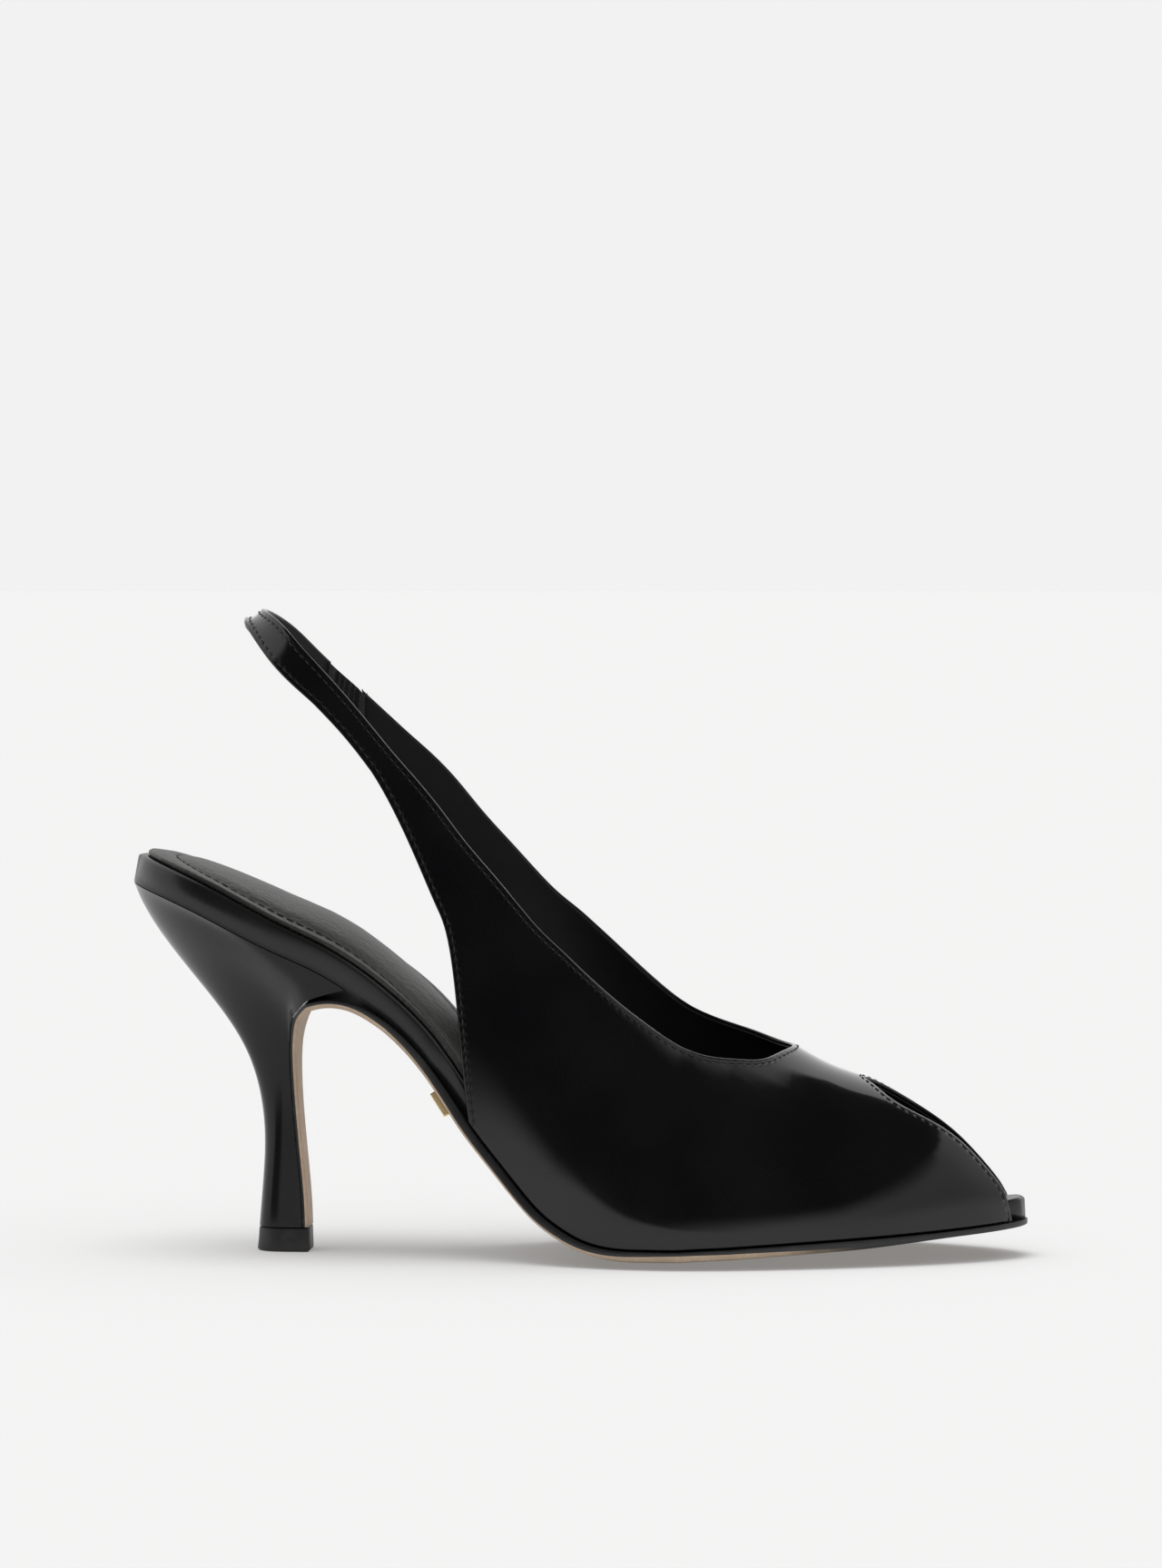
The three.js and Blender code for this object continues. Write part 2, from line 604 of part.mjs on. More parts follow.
// Columns of the wall from the toe to the sling. top, foot: where a column meets the upper's
// top and bottom edges, as shares of the length. rows between them are straight on the last.
const COLUMNS = [
  { top: FLAP_END, foot: FLAP_END },
  { top: 0.978, foot: 0.98 },
  { top: 0.968, foot: 0.972 },
  { top: 0.952, foot: 0.96 },
  { top: 0.93, foot: 0.944 },
  { top: 0.905, foot: 0.924 },
  { top: 0.88, foot: 0.902 },
  { top: 0.858, foot: 0.88 },
  { top: 0.842, foot: 0.861 },
  { top: 0.83, foot: 0.846 },
  { top: 0.823, foot: 0.835 },
  { top: PEEP_START, foot: 0.827 },
  { top: 0.802, foot: 0.804 },
  { top: 0.782, foot: 0.781 },
  { top: 0.762, foot: 0.757 },
  { top: 0.75, foot: 0.738 },
  { top: THROAT, foot: 0.722 },
  { top: 0.7395, foot: 0.715 },
  { top: 0.737, foot: 0.706 },
  { top: 0.732, foot: 0.696 },
  { top: 0.724, foot: 0.684 },
  { top: 0.712, foot: 0.668 },
  { top: 0.696, foot: 0.648 },
  { top: 0.676, foot: 0.625 },
  { top: 0.654, foot: 0.6 },
  { top: 0.63, foot: 0.572 },
  { top: 0.606, foot: 0.544 },
  { top: 0.582, foot: 0.514 },
  { top: 0.56, foot: 0.485 },
  { top: 0.54, foot: 0.456 },
  { top: 0.522, foot: 0.43 },
  { top: 0.506, foot: 0.406 },
  { top: 0.492, foot: CORNER },
  { top: 0.478, foot: 0.3825 },
  { top: 0.464, foot: 0.379 },
  { top: 0.45, foot: 0.375 },
  { top: 0.436, foot: 0.37 },
  { top: 0.422, foot: 0.364 },
  { top: 0.407, foot: 0.356 },
  { top: 0.391, foot: 0.347 },
  { top: 0.374, foot: 0.337 },
  { top: 0.356, foot: 0.326 },
  { top: 0.337, foot: 0.313 },
  { top: 0.317, foot: 0.3 },
  { top: 0.295, foot: 0.284 },
  { top: 0.272, foot: 0.268 },
  { top: SLING_AXIS_SHARE, foot: SLING_AXIS_SHARE },
];
const ROWS = 8;

/** Outer face of the wall in front of the sling's bend. depth: 0 at the top edge, 1 at the bottom. */
function wallPoint(side, column, depth) {
  const along = mix(column.top, column.foot, depth);
  const footShare = column.foot < CORNER
    ? shareAtHeight(side, column.foot, INSTEP_HEIGHT * quarterHeight(column.foot))
    : 0;
  return sectionPoint(side, along, mix(topShare(side, column.top), footShare, depth));
}

/** Outer face of the sling round the heel. turn: 0 at the straight part, 1 at the middle of the back. */
function slingPoint(side, turn, depth) {
  const start = wallPoint(side, { top: SLING_AXIS_SHARE, foot: SLING_AXIS_SHARE }, depth);
  const angle = (turn * Math.PI) / 2;
  const startOut = Math.abs(start.y);
  const backOut = SLING_DEPTH - SLING_LEAN * (1 - depth);
  const out = mix(startOut, backOut, Math.sin(angle) ** 2);
  const x = alongToX(SLING_AXIS_SHARE) - out * Math.sin(angle);
  const along = xToAlong(x);
  const top = toplineHeight[side](along);
  const foot = quarterHeight(along);
  const height = INSTEP_HEIGHT * mix(top, foot, depth);
  return new THREE.Vector3(x, side * out * Math.cos(angle), bottomLine(along) + height);
}

const SLING_COLUMNS = 14;
const slingLength = SLING_DEPTH * Math.PI / 2;
const goreTurn = Math.min(0.9, GORE_LENGTH / slingLength);
const goreStart = 0.04;
const goreMargin = 0.08;
const TURN_REACH_SHARE = 0.01;
const goreEnd = goreStart + goreTurn;
const gapTurn = GAP / slingLength;

/** Grid of the upper's outer face as columns from the toe to the end of one strap. */
function wallColumns(side) {
  const depths = stations(ROWS + 1, 0, 1);
  const columns = COLUMNS.map((column) => {
    const points = depths.map((depth) => wallPoint(side, column, depth));
    if (column.foot >= CORNER) {
      points[ROWS].soleNormal = bottomNormal(column.foot);
    }
    return points;
  });
  const turns = side === OUTER
    ? stations(SLING_COLUMNS + 1, 0, 1).slice(1).map((turn) => [OUTER, turn])
    : [[INNER, goreStart / 2], [INNER, goreStart]];
  if (side === OUTER) {
    stations(SLING_COLUMNS, 1, goreEnd + gapTurn).slice(1).forEach((turn) => {
      turns.push([INNER, turn]);
    });
  } else {
    turns[1][1] = goreStart - gapTurn;
  }
  turns.forEach(([half, turn]) => {
    columns.push(depths.map((depth) => slingPoint(half, turn, depth)));
  });
  return columns;
}

/** Closed wall from grids of its outer face, thickened inwards along the face's normals. */
function thickWall(grids, wall) {
  const points = [];
  const numbers = new Map();
  const numberOf = (point) => {
    const name = point.toArray().map((value) => value.toFixed(3)).join();
    if (!numbers.has(name)) {
      numbers.set(name, points.length);
      points.push(point);
    }
    return numbers.get(name);
  };
  const faces = [];
  grids.forEach(({ columns, flip }) => {
    const grid = columns.map((column) => column.map(numberOf));
    for (let i = 0; i < grid.length - 1; i += 1) {
      for (let j = 0; j < grid[i].length - 1; j += 1) {
        const corners = [grid[i][j], grid[i][j + 1], grid[i + 1][j + 1], grid[i + 1][j]];
        const quad = flip ? corners.reverse() : corners;
        faces.push([quad[0], quad[1], quad[2]], [quad[0], quad[2], quad[3]]);
      }
    }
  });
  const sound = faces.filter((face) => new Set(face).size === 3);
  const normals = points.map(() => new THREE.Vector3());
  sound.forEach(([a, b, c]) => {
    const one = points[b].clone().sub(points[a]);
    const normal = one.cross(points[c].clone().sub(points[a]));
    [a, b, c].forEach((k) => normals[k].add(normal));
  });
  const count = points.length;
  const inside = points.map((point, k) => {
    const normal = normals[k].normalize();
    if (point.soleNormal) {
      normal.addScaledVector(point.soleNormal, -normal.dot(point.soleNormal)).normalize();
    }
    return point.clone().addScaledVector(normal, -wall);
  });
  const edges = new Map();
  sound.forEach(([a, b, c]) => {
    [[a, b], [b, c], [c, a]].forEach(([from, to]) => {
      if (!edges.delete(`${to},${from}`)) {
        edges.set(`${from},${to}`, [from, to]);
      }
    });
  });
  const all = [...sound, ...sound.map(([a, b, c]) => [a + count, c + count, b + count])];
  edges.forEach(([from, to]) => {
    all.push([from, to + count, to], [from, from + count, to + count]);
  });
  return solid([...points, ...inside], all);
}

function upperGeometry() {
  const grids = [OUTER, INNER].map((side) => ({
    columns: wallColumns(side),
    flip: side === OUTER,
  }));
  return thickWall(grids, UPPER_WALL);
}

/** Ruched elastic set in the sling on the inner side. */
function goreRings() {
  const count = GORE_RIBS * 4 + 1;
  const depths = stations(5, goreMargin, 1 - goreMargin);
  return stations(count, goreStart, goreEnd).map((turn, i) => {
    const rib = GORE_RIB_DEPTH * 0.5 * (1 - Math.cos((i / 4) * 2 * Math.PI));
    const face = (depth, level) => {
      const point = slingPoint(INNER, turn, depth);
      const ahead = slingPoint(INNER, turn - TURN_REACH_SHARE, depth);
      const lower = slingPoint(INNER, turn, depth + TURN_REACH_SHARE);
      const normal = lower.sub(point).cross(ahead.sub(point)).normalize();
      return point.addScaledVector(normal, level);
    };
    const outside = depths.map((depth) => face(depth, GORE_RECESS - rib));
    const inside = depths.map((depth) => face(depth, GORE_RECESS + GORE_THICKNESS));
    return [...outside, ...inside.reverse()];
  });
}

// Heel tip
function tipRing(height, grow) {
  const shares = heelShares();
  const ring = (side) => shares.map((share) => {
    const x = mix(-TIP_LENGTH / 2 - grow, TIP_LENGTH / 2, share);
    const y = share === 0 ? 0 : side * (tipHalfWidth(share) + grow);
    return new THREE.Vector3(x, y, height);
  });
  return [...ring(OUTER).reverse(), ...ring(INNER).slice(1)];
}

function tipGeometry() {
  const heights = [0, TIP_ROUNDING, TIP_HEIGHT - TIP_BEVEL, TIP_HEIGHT];
  const growths = [-TIP_FLARE, 0, -TIP_FLARE, -TIP_FLARE - TIP_BEVEL];
  return loft(heights.map((height, i) => tipRing(height, growths[i])));
}

const finishes = {
  leather: { color: 0x0d0d0f, roughness: 0.18, metalness: 0 },
  elastic: { color: 0x141416, roughness: 0.7, metalness: 0 },
  rand: { color: 0x161618, roughness: 0.42, metalness: 0 },
  sock: { color: 0x3a3a34, roughness: 0.5, metalness: 0 },
  sole: { color: 0xb39f8a, roughness: 0.6, metalness: 0 },
  covering: { color: 0x242426, roughness: 0.35, metalness: 0 },
  rubber: { color: 0x101010, roughness: 0.6, metalness: 0 },
  gold: { color: 0xc8a86a, roughness: 0.3, metalness: 1 },
};

function piece(name, geometry, finish) {
  const mesh = new THREE.Mesh(geometry, new THREE.MeshStandardMaterial(finishes[finish]));
  mesh.name = name;
  return mesh;
}

/** Small plain bar under the outer half of the waist, flat against the sole. */
function solePlate() {
  const angle = roundKey(PLATE_ALONG_SHARE);
  const under = (turn, across) => {
    const up = -SOLE_THICKNESS - PLATE_DROP - PLATE_THICKNESS / 2;
    return bottomRing(turn, [{ across, up, inset: 0 }])[0];
  };
  const place = under(angle, PLATE_ACROSS_SHARE);
  const forward = under(angle + TURN_REACH_SHARE, PLATE_ACROSS_SHARE).sub(place).normalize();
  const sideways = under(angle, PLATE_ACROSS_SHARE + TURN_REACH_SHARE).sub(place);
  const up = forward.clone().cross(sideways).normalize();
  const box = new THREE.BoxGeometry(PLATE_LENGTH, PLATE_WIDTH, PLATE_THICKNESS);
  const mesh = piece('sole_plate', box, 'gold');
  const basis = new THREE.Matrix4().makeBasis(forward, up.clone().cross(forward), up);
  mesh.setRotationFromMatrix(basis);
  mesh.position.copy(place);
  return mesh;
}

const group = new THREE.Group();
group.add(piece('upper', upperGeometry(), 'leather'));
group.add(piece('elastic_gore', loft(goreRings()), 'elastic'));
group.add(piece('insole_board', loft(boardRings()), 'rand'));
group.add(piece('sock', loft(sockRings()), 'sock'));
group.add(piece('outsole', loft(outsoleRings()), 'sole'));
group.add(piece('heel', loft(heelRings), 'covering'));
group.add(piece('top_piece', tipGeometry(), 'rubber'));
group.add(solePlate());

export default group;
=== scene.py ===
import math

import bmesh
import bpy
import numpy as np
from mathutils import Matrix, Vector
from mathutils.bvhtree import BVHTree
from mathutils.kdtree import KDTree


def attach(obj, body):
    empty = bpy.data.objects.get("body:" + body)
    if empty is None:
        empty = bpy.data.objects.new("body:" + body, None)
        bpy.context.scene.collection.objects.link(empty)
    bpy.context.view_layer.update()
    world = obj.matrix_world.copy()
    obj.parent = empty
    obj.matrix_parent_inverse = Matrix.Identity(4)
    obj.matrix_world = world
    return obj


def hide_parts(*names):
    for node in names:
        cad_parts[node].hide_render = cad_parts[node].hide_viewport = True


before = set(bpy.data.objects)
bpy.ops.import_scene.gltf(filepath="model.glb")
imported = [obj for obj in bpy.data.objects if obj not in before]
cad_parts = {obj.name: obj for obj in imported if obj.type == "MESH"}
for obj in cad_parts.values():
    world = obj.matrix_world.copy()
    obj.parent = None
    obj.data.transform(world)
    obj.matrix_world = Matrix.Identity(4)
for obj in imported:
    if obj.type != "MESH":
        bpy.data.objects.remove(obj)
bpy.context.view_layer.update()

# Insole board. A stiff board, shaped to the foot, wrapped in thin black leather that is drawn
# over its edge and glued underneath. The upper is lasted round it from the waist forward, and
# behind the quarters and at the toe its edge shows as a satin band.
MM = 0.001
SHOE_LENGTH = 217
BALL_WIDTH = 77
HEEL_HEIGHT = 90
HEEL_SETBACK = 36.5
TOE_SPRING = 6.6
EDGE_LIFT = 2
ARCH_LIFT = 5
GAP = 0.3
WALL = 1.6
SOLE_THICKNESS = 2.4
BOARD_THICKNESS = 7
BOARD_ROUNDING = 1
BOARD_THINNING = 0.4
BOARD_SLACK = 0.2
OUTER, INNER = -1, 1


def table(names, *rows):
    """Columns of a short table, by name."""
    return dict(zip(names.split(), np.array(rows, float).T))


# Outline of the last from above: shares of the length and of the ball width
OUTLINE = table(
    "along outer inner",
    (0, 0, 0), (0.018, 0.169, 0.165), (0.05, 0.26, 0.252), (0.09, 0.306, 0.294),
    (0.14, 0.325, 0.31), (0.2, 0.322, 0.297), (0.26, 0.304, 0.262), (0.32, 0.291, 0.227),
    (0.37, 0.299, 0.214), (0.42, 0.338, 0.242), (0.47, 0.397, 0.314), (0.52, 0.452, 0.397),
    (0.57, 0.49, 0.462), (0.62, 0.502, 0.497), (0.67, 0.489, 0.505), (0.74, 0.446, 0.484),
    (0.81, 0.381, 0.431), (0.88, 0.298, 0.355), (0.94, 0.204, 0.258), (0.98, 0.103, 0.155),
    (1, -0.026, 0.026),
)

# Bottom line of the last from the side: shares of the heel height, toe spring, edge and arch lift
PROFILE = table(
    "along rise spring lift arch",
    (0, 1, 0, 0, 0), (0.035, 0.972, 0, 0, 0), (0.078, 0.929, 0, 0, 0), (0.122, 0.876, 0, 0, 0),
    (0.168, 0.82, 0, 0, 0.05), (0.214, 0.768, 0, 0, 0.2), (0.251, 0.713, 0, 0, 0.4),
    (0.288, 0.644, 0, 0, 0.65), (0.325, 0.56, 0, 0, 0.88), (0.3525, 0.475, 0, 0, 1),
    (0.385, 0.355, 0, 0, 0.97), (0.417, 0.254, 0, 0.08, 0.8), (0.4447, 0.171, 0, 0.2, 0.55),
    (0.477, 0.084, 0, 0.45, 0.25), (0.509, 0.03, 0, 0.72, 0.07), (0.54, 0, 0, 0.92, 0),
    (0.62, 0, 0, 1, 0), (0.675, 0, 0.1, 0.97, 0), (0.74, 0, 0.25, 0.87, 0),
    (0.81, 0, 0.43, 0.65, 0), (0.88, 0, 0.63, 0.4, 0), (0.94, 0, 0.82, 0.18, 0), (1, 0, 1, 0, 0),
)


def curve(at, value):
    """Natural cubic curve through value over at."""
    count, width = len(at), np.diff(at)
    system, right = np.eye(count), np.zeros(count)
    for i in range(1, count - 1):
        system[i, i - 1:i + 2] = width[i - 1], 2 * (width[i - 1] + width[i]), width[i]
        right[i] = 6 * (np.diff(value)[i] / width[i] - np.diff(value)[i - 1] / width[i - 1])
    bend = np.linalg.solve(system, right)

    def read(x):
        x = np.clip(x, at[0], at[-1])
        i = np.clip(np.searchsorted(at, x) - 1, 0, count - 2)
        b = (x - at[i]) / width[i]
        a = 1 - b
        bow = ((a**3 - a) * bend[i] + (b**3 - b) * bend[i + 1]) * width[i] ** 2 / 6
        return a * value[i] + b * value[i + 1] + bow

    return read


def round_key(along):
    """Spaces shares of the length like the angle round a circle, so both ends come out round."""
    return np.arccos(np.clip(1 - 2 * np.asarray(along, float), -1, 1))


def round_curve(rows, column):
    read = curve(round_key(rows["along"]), rows[column])
    return lambda along: read(round_key(along))


half_outline = {OUTER: round_curve(OUTLINE, "outer"), INNER: round_curve(OUTLINE, "inner")}
profile = {name: curve(PROFILE["along"], PROFILE[name]) for name in ("rise", "spring", "lift", "arch")}
BALL_LEVEL = SOLE_THICKNESS + GAP
BALL_EASE = 0.03
BALL_STEPS = np.linspace(-1, 1, 9)


def mix(a, b, share):
    return a + (b - a) * share


def smooth(x, low, high):
    x = np.clip((np.asarray(x, float) - low) / (high - low), 0, 1)
    return x * x * (3 - 2 * x)


def along_to_x(along):
    return along * SHOE_LENGTH - HEEL_SETBACK


def x_to_along(x):
    return (x + HEEL_SETBACK) / SHOE_LENGTH


def bottom_line(along):
    """Height of the last's bottom line above the floor, eased where the slope meets the ball."""
    along = np.asarray(along, float)
    reach = BALL_EASE * smooth(along, 0.44, 0.5) * (1 - smooth(along, 0.58, 0.66))
    steps = BALL_STEPS if np.any(reach > 0) else (0,)
    near = [np.maximum(0, profile["rise"](along + reach * step)) for step in steps]
    rise = np.mean(near, axis=0) * (HEEL_HEIGHT + GAP - BALL_LEVEL)
    return BALL_LEVEL + rise + np.maximum(0, profile["spring"](along)) * TOE_SPRING


def half_width(side, along):
    return BALL_WIDTH * half_outline[side](along)


def cross_lift(along, across):
    """Extra height of a bottom point, across from the outer edge (-1) to the inner edge (1)."""
    flat = 0.36
    to_edge = np.maximum(0, np.abs(across) - flat) / (1 - flat)
    arch = ARCH_LIFT * np.maximum(0, profile["arch"](along)) * (across + 1) / 2
    return EDGE_LIFT * np.maximum(0, profile["lift"](along)) * to_edge**2 + arch


def bottom_normal(along):
    """Upward normal of the bottom line in the side view."""
    reach = 0.002
    slope = (bottom_line(along + reach) - bottom_line(along - reach)) / (2 * reach * SHOE_LENGTH)
    normal = np.stack([-slope, np.zeros_like(slope), np.ones_like(slope)], -1)
    return normal / np.linalg.norm(normal, axis=-1, keepdims=True)


def outline_point(side, angle, inset):
    """Point of the outline from above, at an angle from the back (0) to the toe (pi)."""
    def place(a):
        along = (1 - math.cos(a)) / 2
        return np.array([along_to_x(along), side * float(half_width(side, along))])

    reach = 0.004
    forward = place(min(math.pi, angle + reach)) - place(max(0, angle - reach))
    forward /= np.linalg.norm(forward)
    return place(angle) + inset * np.array([side * forward[1], -side * forward[0]])


def bottom_ring(angle, loop):
    """One ring round a bottom piece, through loop's rows of across, up and inset."""
    ring = []
    for across, up, inset in loop:
        outer, inner = outline_point(OUTER, angle, inset), outline_point(INNER, angle, inset)
        x, y = mix(outer, inner, (across + 1) / 2)
        along = np.float64(x_to_along(x))
        height = bottom_line(along) + cross_lift(along, across)
        ring.append(np.array([x, y, height]) + up * bottom_normal(along))
    return ring


def loft_faces(ring_count, size):
    """Faces of a closed tube through rings, with both ends zipped shut."""
    faces = []
    for i in range(ring_count - 1):
        for j in range(size):
            a, b = i * size + j, i * size + (j + 1) % size
            faces.append((a, b, b + size, a + size))
    for start in (0, (ring_count - 1) * size):
        for i in range(size // 2):
            far = size - 1 - i
            corners = dict.fromkeys((start + i, start + i + 1, start + far - 1, start + far))
            if len(corners) > 2:
                faces.append(tuple(corners))
    return faces


def add_object(name, data):
    made = bpy.data.objects.new(name, data)
    bpy.context.scene.collection.objects.link(made)
    return made


def make_piece(name, points, faces, finishes, which=None, replaces=()):
    """A closed mesh piece with its faces outwards, riding on the shoe's one body."""
    mesh = bpy.data.meshes.new(name)
    mesh.from_pydata((np.asarray(points) * MM).tolist(), [], faces)
    for material in finishes:
        mesh.materials.append(material)
    if which is not None:
        mesh.polygons.foreach_set("material_index", which)
    work = bmesh.new()
    work.from_mesh(mesh)
    bmesh.ops.recalc_face_normals(work, faces=work.faces)
    work.to_mesh(mesh)
    work.free()
    mesh.shade_smooth()
    piece = add_object(name, mesh)
    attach(piece, "root")
    if replaces:
        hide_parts(*replaces)
    return piece


class Wire:
    """A shader socket that takes part in Python arithmetic."""

    def __init__(self, tree, socket=None):
        self.tree, self.socket = tree, socket

    def node(self, kind, inputs=None, output=0, **settings):
        """A node of any kind: its settings first, then its sockets' values or links."""
        made = self.tree.nodes.new(kind)
        for key, value in settings.items():
            setattr(made, key, value)
        for key, value in (inputs or {}).items():
            if isinstance(value, Wire):
                self.tree.links.new(value.socket, made.inputs[key])
            else:
                made.inputs[key].default_value = value
        return Wire(self.tree, made.outputs[output] if made.outputs else None)

    def math(self, operation, *values):
        return self.node("ShaderNodeMath", dict(enumerate(values)), operation=operation)

    def __add__(self, other):
        return self.math("ADD", self, other)

    def __radd__(self, other):
        return self.math("ADD", other, self)

    def __sub__(self, other):
        return self.math("SUBTRACT", self, other)

    def __rsub__(self, other):
        return self.math("SUBTRACT", other, self)

    def __mul__(self, other):
        return self.math("MULTIPLY", self, other)

    def __truediv__(self, other):
        return self.math("DIVIDE", self, other)

    def size(self):
        return self.math("ABSOLUTE", self)

    def fraction(self):
        return self.math("FRACT", self)

    def step(self, low, high):
        """Smooth step from 0 at low to 1 at high."""
        values = {"Value": self, 1: low, 2: high}
        return self.node("ShaderNodeMapRange", values, interpolation_type="SMOOTHSTEP")

    def axis(self, number):
        """One part of a vector."""
        return self.node("ShaderNodeSeparateXYZ", {0: self}, number)

    def noise(self, place, scale, detail=2.0, roughness=0.5):
        values = {"Vector": place, "Scale": scale, "Detail": detail, "Roughness": roughness}
        return self.node("ShaderNodeTexNoise", values)

    def bands(self, place, direction, scale, distortion):
        values = {"Vector": place, "Scale": scale, "Distortion": distortion}
        return self.node("ShaderNodeTexWave", values, bands_direction=direction)

    def blend(self, share, first, second):
        """Mix of two colours, each a wire or a red, green and blue share."""
        first, second = (c if isinstance(c, Wire) else (*c, 1) for c in (first, second))
        return self.node("ShaderNodeMix", {0: share, 6: first, 7: second}, 2, data_type="RGBA")

    def place(self):
        return self.node("ShaderNodeTexCoord", output="Object")

    def uv(self, name):
        return self.node("ShaderNodeUVMap", uv_map=name)

    def bump(self, height, distance, strength, normal=None):
        values = {"Height": height, "Distance": distance, "Strength": strength}
        if normal is not None:
            values["Normal"] = normal
        return self.node("ShaderNodeBump", values)


def start_finish(name):
    """An empty node material and the wire that builds on it."""
    material = bpy.data.materials.new(name)
    material.use_nodes = True
    material.node_tree.nodes.clear()
    return material, Wire(material.node_tree)


def end_finish(wire, values):
    """Ends a material in one Principled shader."""
    shader = wire.node("ShaderNodeBsdfPrincipled", values)
    wire.node("ShaderNodeOutputMaterial", {"Surface": shader})


def finish(build):
    """Makes a material maker of a function that gives the values of the Principled shader."""
    def make(name, *options, **more):
        material, wire = start_finish(name)
        end_finish(wire, build(wire, *options, **more))
        return material

    return make


@finish
def leather_finish(wire, colour, light, rough, grain_mm, depth, gloss, coat=0.0, wrinkle=0.0):
    """Smooth dyed leather: pore grain, wrinkles, slow waves and patches of lighter dye."""
    place = wire.place()
    values = {"Vector": place, "Scale": 1 / (grain_mm * MM), "Smoothness": 0.6}
    pores = wire.node("ShaderNodeTexVoronoi", values, feature="SMOOTH_F1")
    waves = wire.noise(place, 90.0, 3.0)
    patches = wire.noise(place, 35.0, 4.0, 0.6)
    normal = wire.bump(waves, 0.0006, 0.35)
    if wrinkle:
        normal = wire.bump(wire.noise(place, 620.0, 3.0, 0.55), wrinkle * MM, 0.8, normal)
    return {
        "Base Color": wire.blend(patches.step(0.35, 0.75), colour, light),
        "Roughness": rough + patches * 0.12 - 0.06 + pores * 0.05,
        "Specular IOR Level": gloss,
        "Coat Weight": coat,
        "Coat Roughness": 0.15,
        "Normal": wire.bump(pores, depth * MM, 0.7, normal),
    }


def loop_arc(centre_up, centre_inset, radius, side, steps=5):
    """Quarter round from the side of a layer up to its top."""
    angles = np.linspace(0, math.pi / 2, steps)
    return [
        (side, centre_up + radius * math.sin(a), centre_inset - radius * math.cos(a))
        for a in angles
    ]


def layer_loop(low, high, radius, inset, across, crown=0):
    """Section of a layer with rounded upper edges, fuller in its middle by the crown."""
    bottom = [(share, low, inset) for share in across]
    right = loop_arc(high - radius, inset + radius, radius, 1)
    top = [(share, high + crown * (1 - share**2), inset + radius) for share in across[::-1][1:-1]]
    left = loop_arc(high - radius, inset + radius, radius, -1)[::-1]
    return [*bottom, *right, *top, *left]


# Board and sock along the last: how much of the upper's wall stands outside the board, how far
# the board has thinned, how full the sock's padding is, and how far it has drawn back at the toe
LAYERS = table(
    "along covered thin crown toe",
    (0, 0, 0, 0, 0), (0.02, 0, 0.02, 0.2, 0), (0.05, 0, 0.05, 0.4, 0), (0.09, 0, 0.1, 0.63, 0),
    (0.13, 0, 0.17, 0.85, 0), (0.17, 0, 0.24, 0.98, 0), (0.2, 0, 0.3, 0.98, 0),
    (0.23, 0, 0.37, 0.85, 0), (0.26, 0, 0.45, 0.62, 0), (0.29, 0, 0.56, 0.38, 0),
    (0.32, 0, 0.72, 0.19, 0), (0.345, 0, 0.85, 0.08, 0), (0.375, 1, 1, 0, 0), (0.93, 1, 1, 0, 0),
    (0.985, 1, 0.8, 0, 1), (0.996, 0, 0.65, 0, 1), (1, 0, 0.65, 0, 1),
)


def layer_share(column, angle):
    """Value of one column of the layer table."""
    return float(np.interp((1 - math.cos(angle)) / 2, LAYERS["along"], LAYERS[column]))


def board_inset(angle):
    """How far the board's edge is set in under the lasted upper."""
    return (WALL + GAP + BOARD_SLACK) * layer_share("covered", angle)


def board_thickness(angle):
    return BOARD_THICKNESS * (1 - BOARD_THINNING * layer_share("thin", angle))


END_ANGLE = 0.02
ACROSS = np.linspace(-1, 1, 19)


def bottom_angles(count):
    return np.linspace(END_ANGLE, math.pi - END_ANGLE, count)


board_rings = [
    bottom_ring(a, layer_loop(0, board_thickness(a), BOARD_ROUNDING, board_inset(a), ACROSS))
    for a in bottom_angles(150)
]
board_leather = leather_finish(
    "board_leather", (0.004, 0.004, 0.0043), (0.008, 0.008, 0.008), 0.33, 0.5, 0.02, 0.4, 0.15
)
make_piece(
    "board_wrap", np.concatenate(board_rings), loft_faces(len(board_rings), len(board_rings[0])),
    [board_leather], replaces=["insole_board"],
)

# Upper. One piece of glossy black leather from the toe opening over the vamp and both quarters
# into the sling, lasted over the board, its free edges folded in and stitched down a little
# over a millimetre from the fold. It meets the sole all round from the waist forward.
INSTEP_HEIGHT = 47
PEEP_WIDTH = 24
SLING_DEPTH = 27.5
SLING_LEAN = 4.6
GORE_LENGTH = 9
LEATHER = 1.0
SEAM_INSET = 1.45
STITCH_PITCH = 2.2

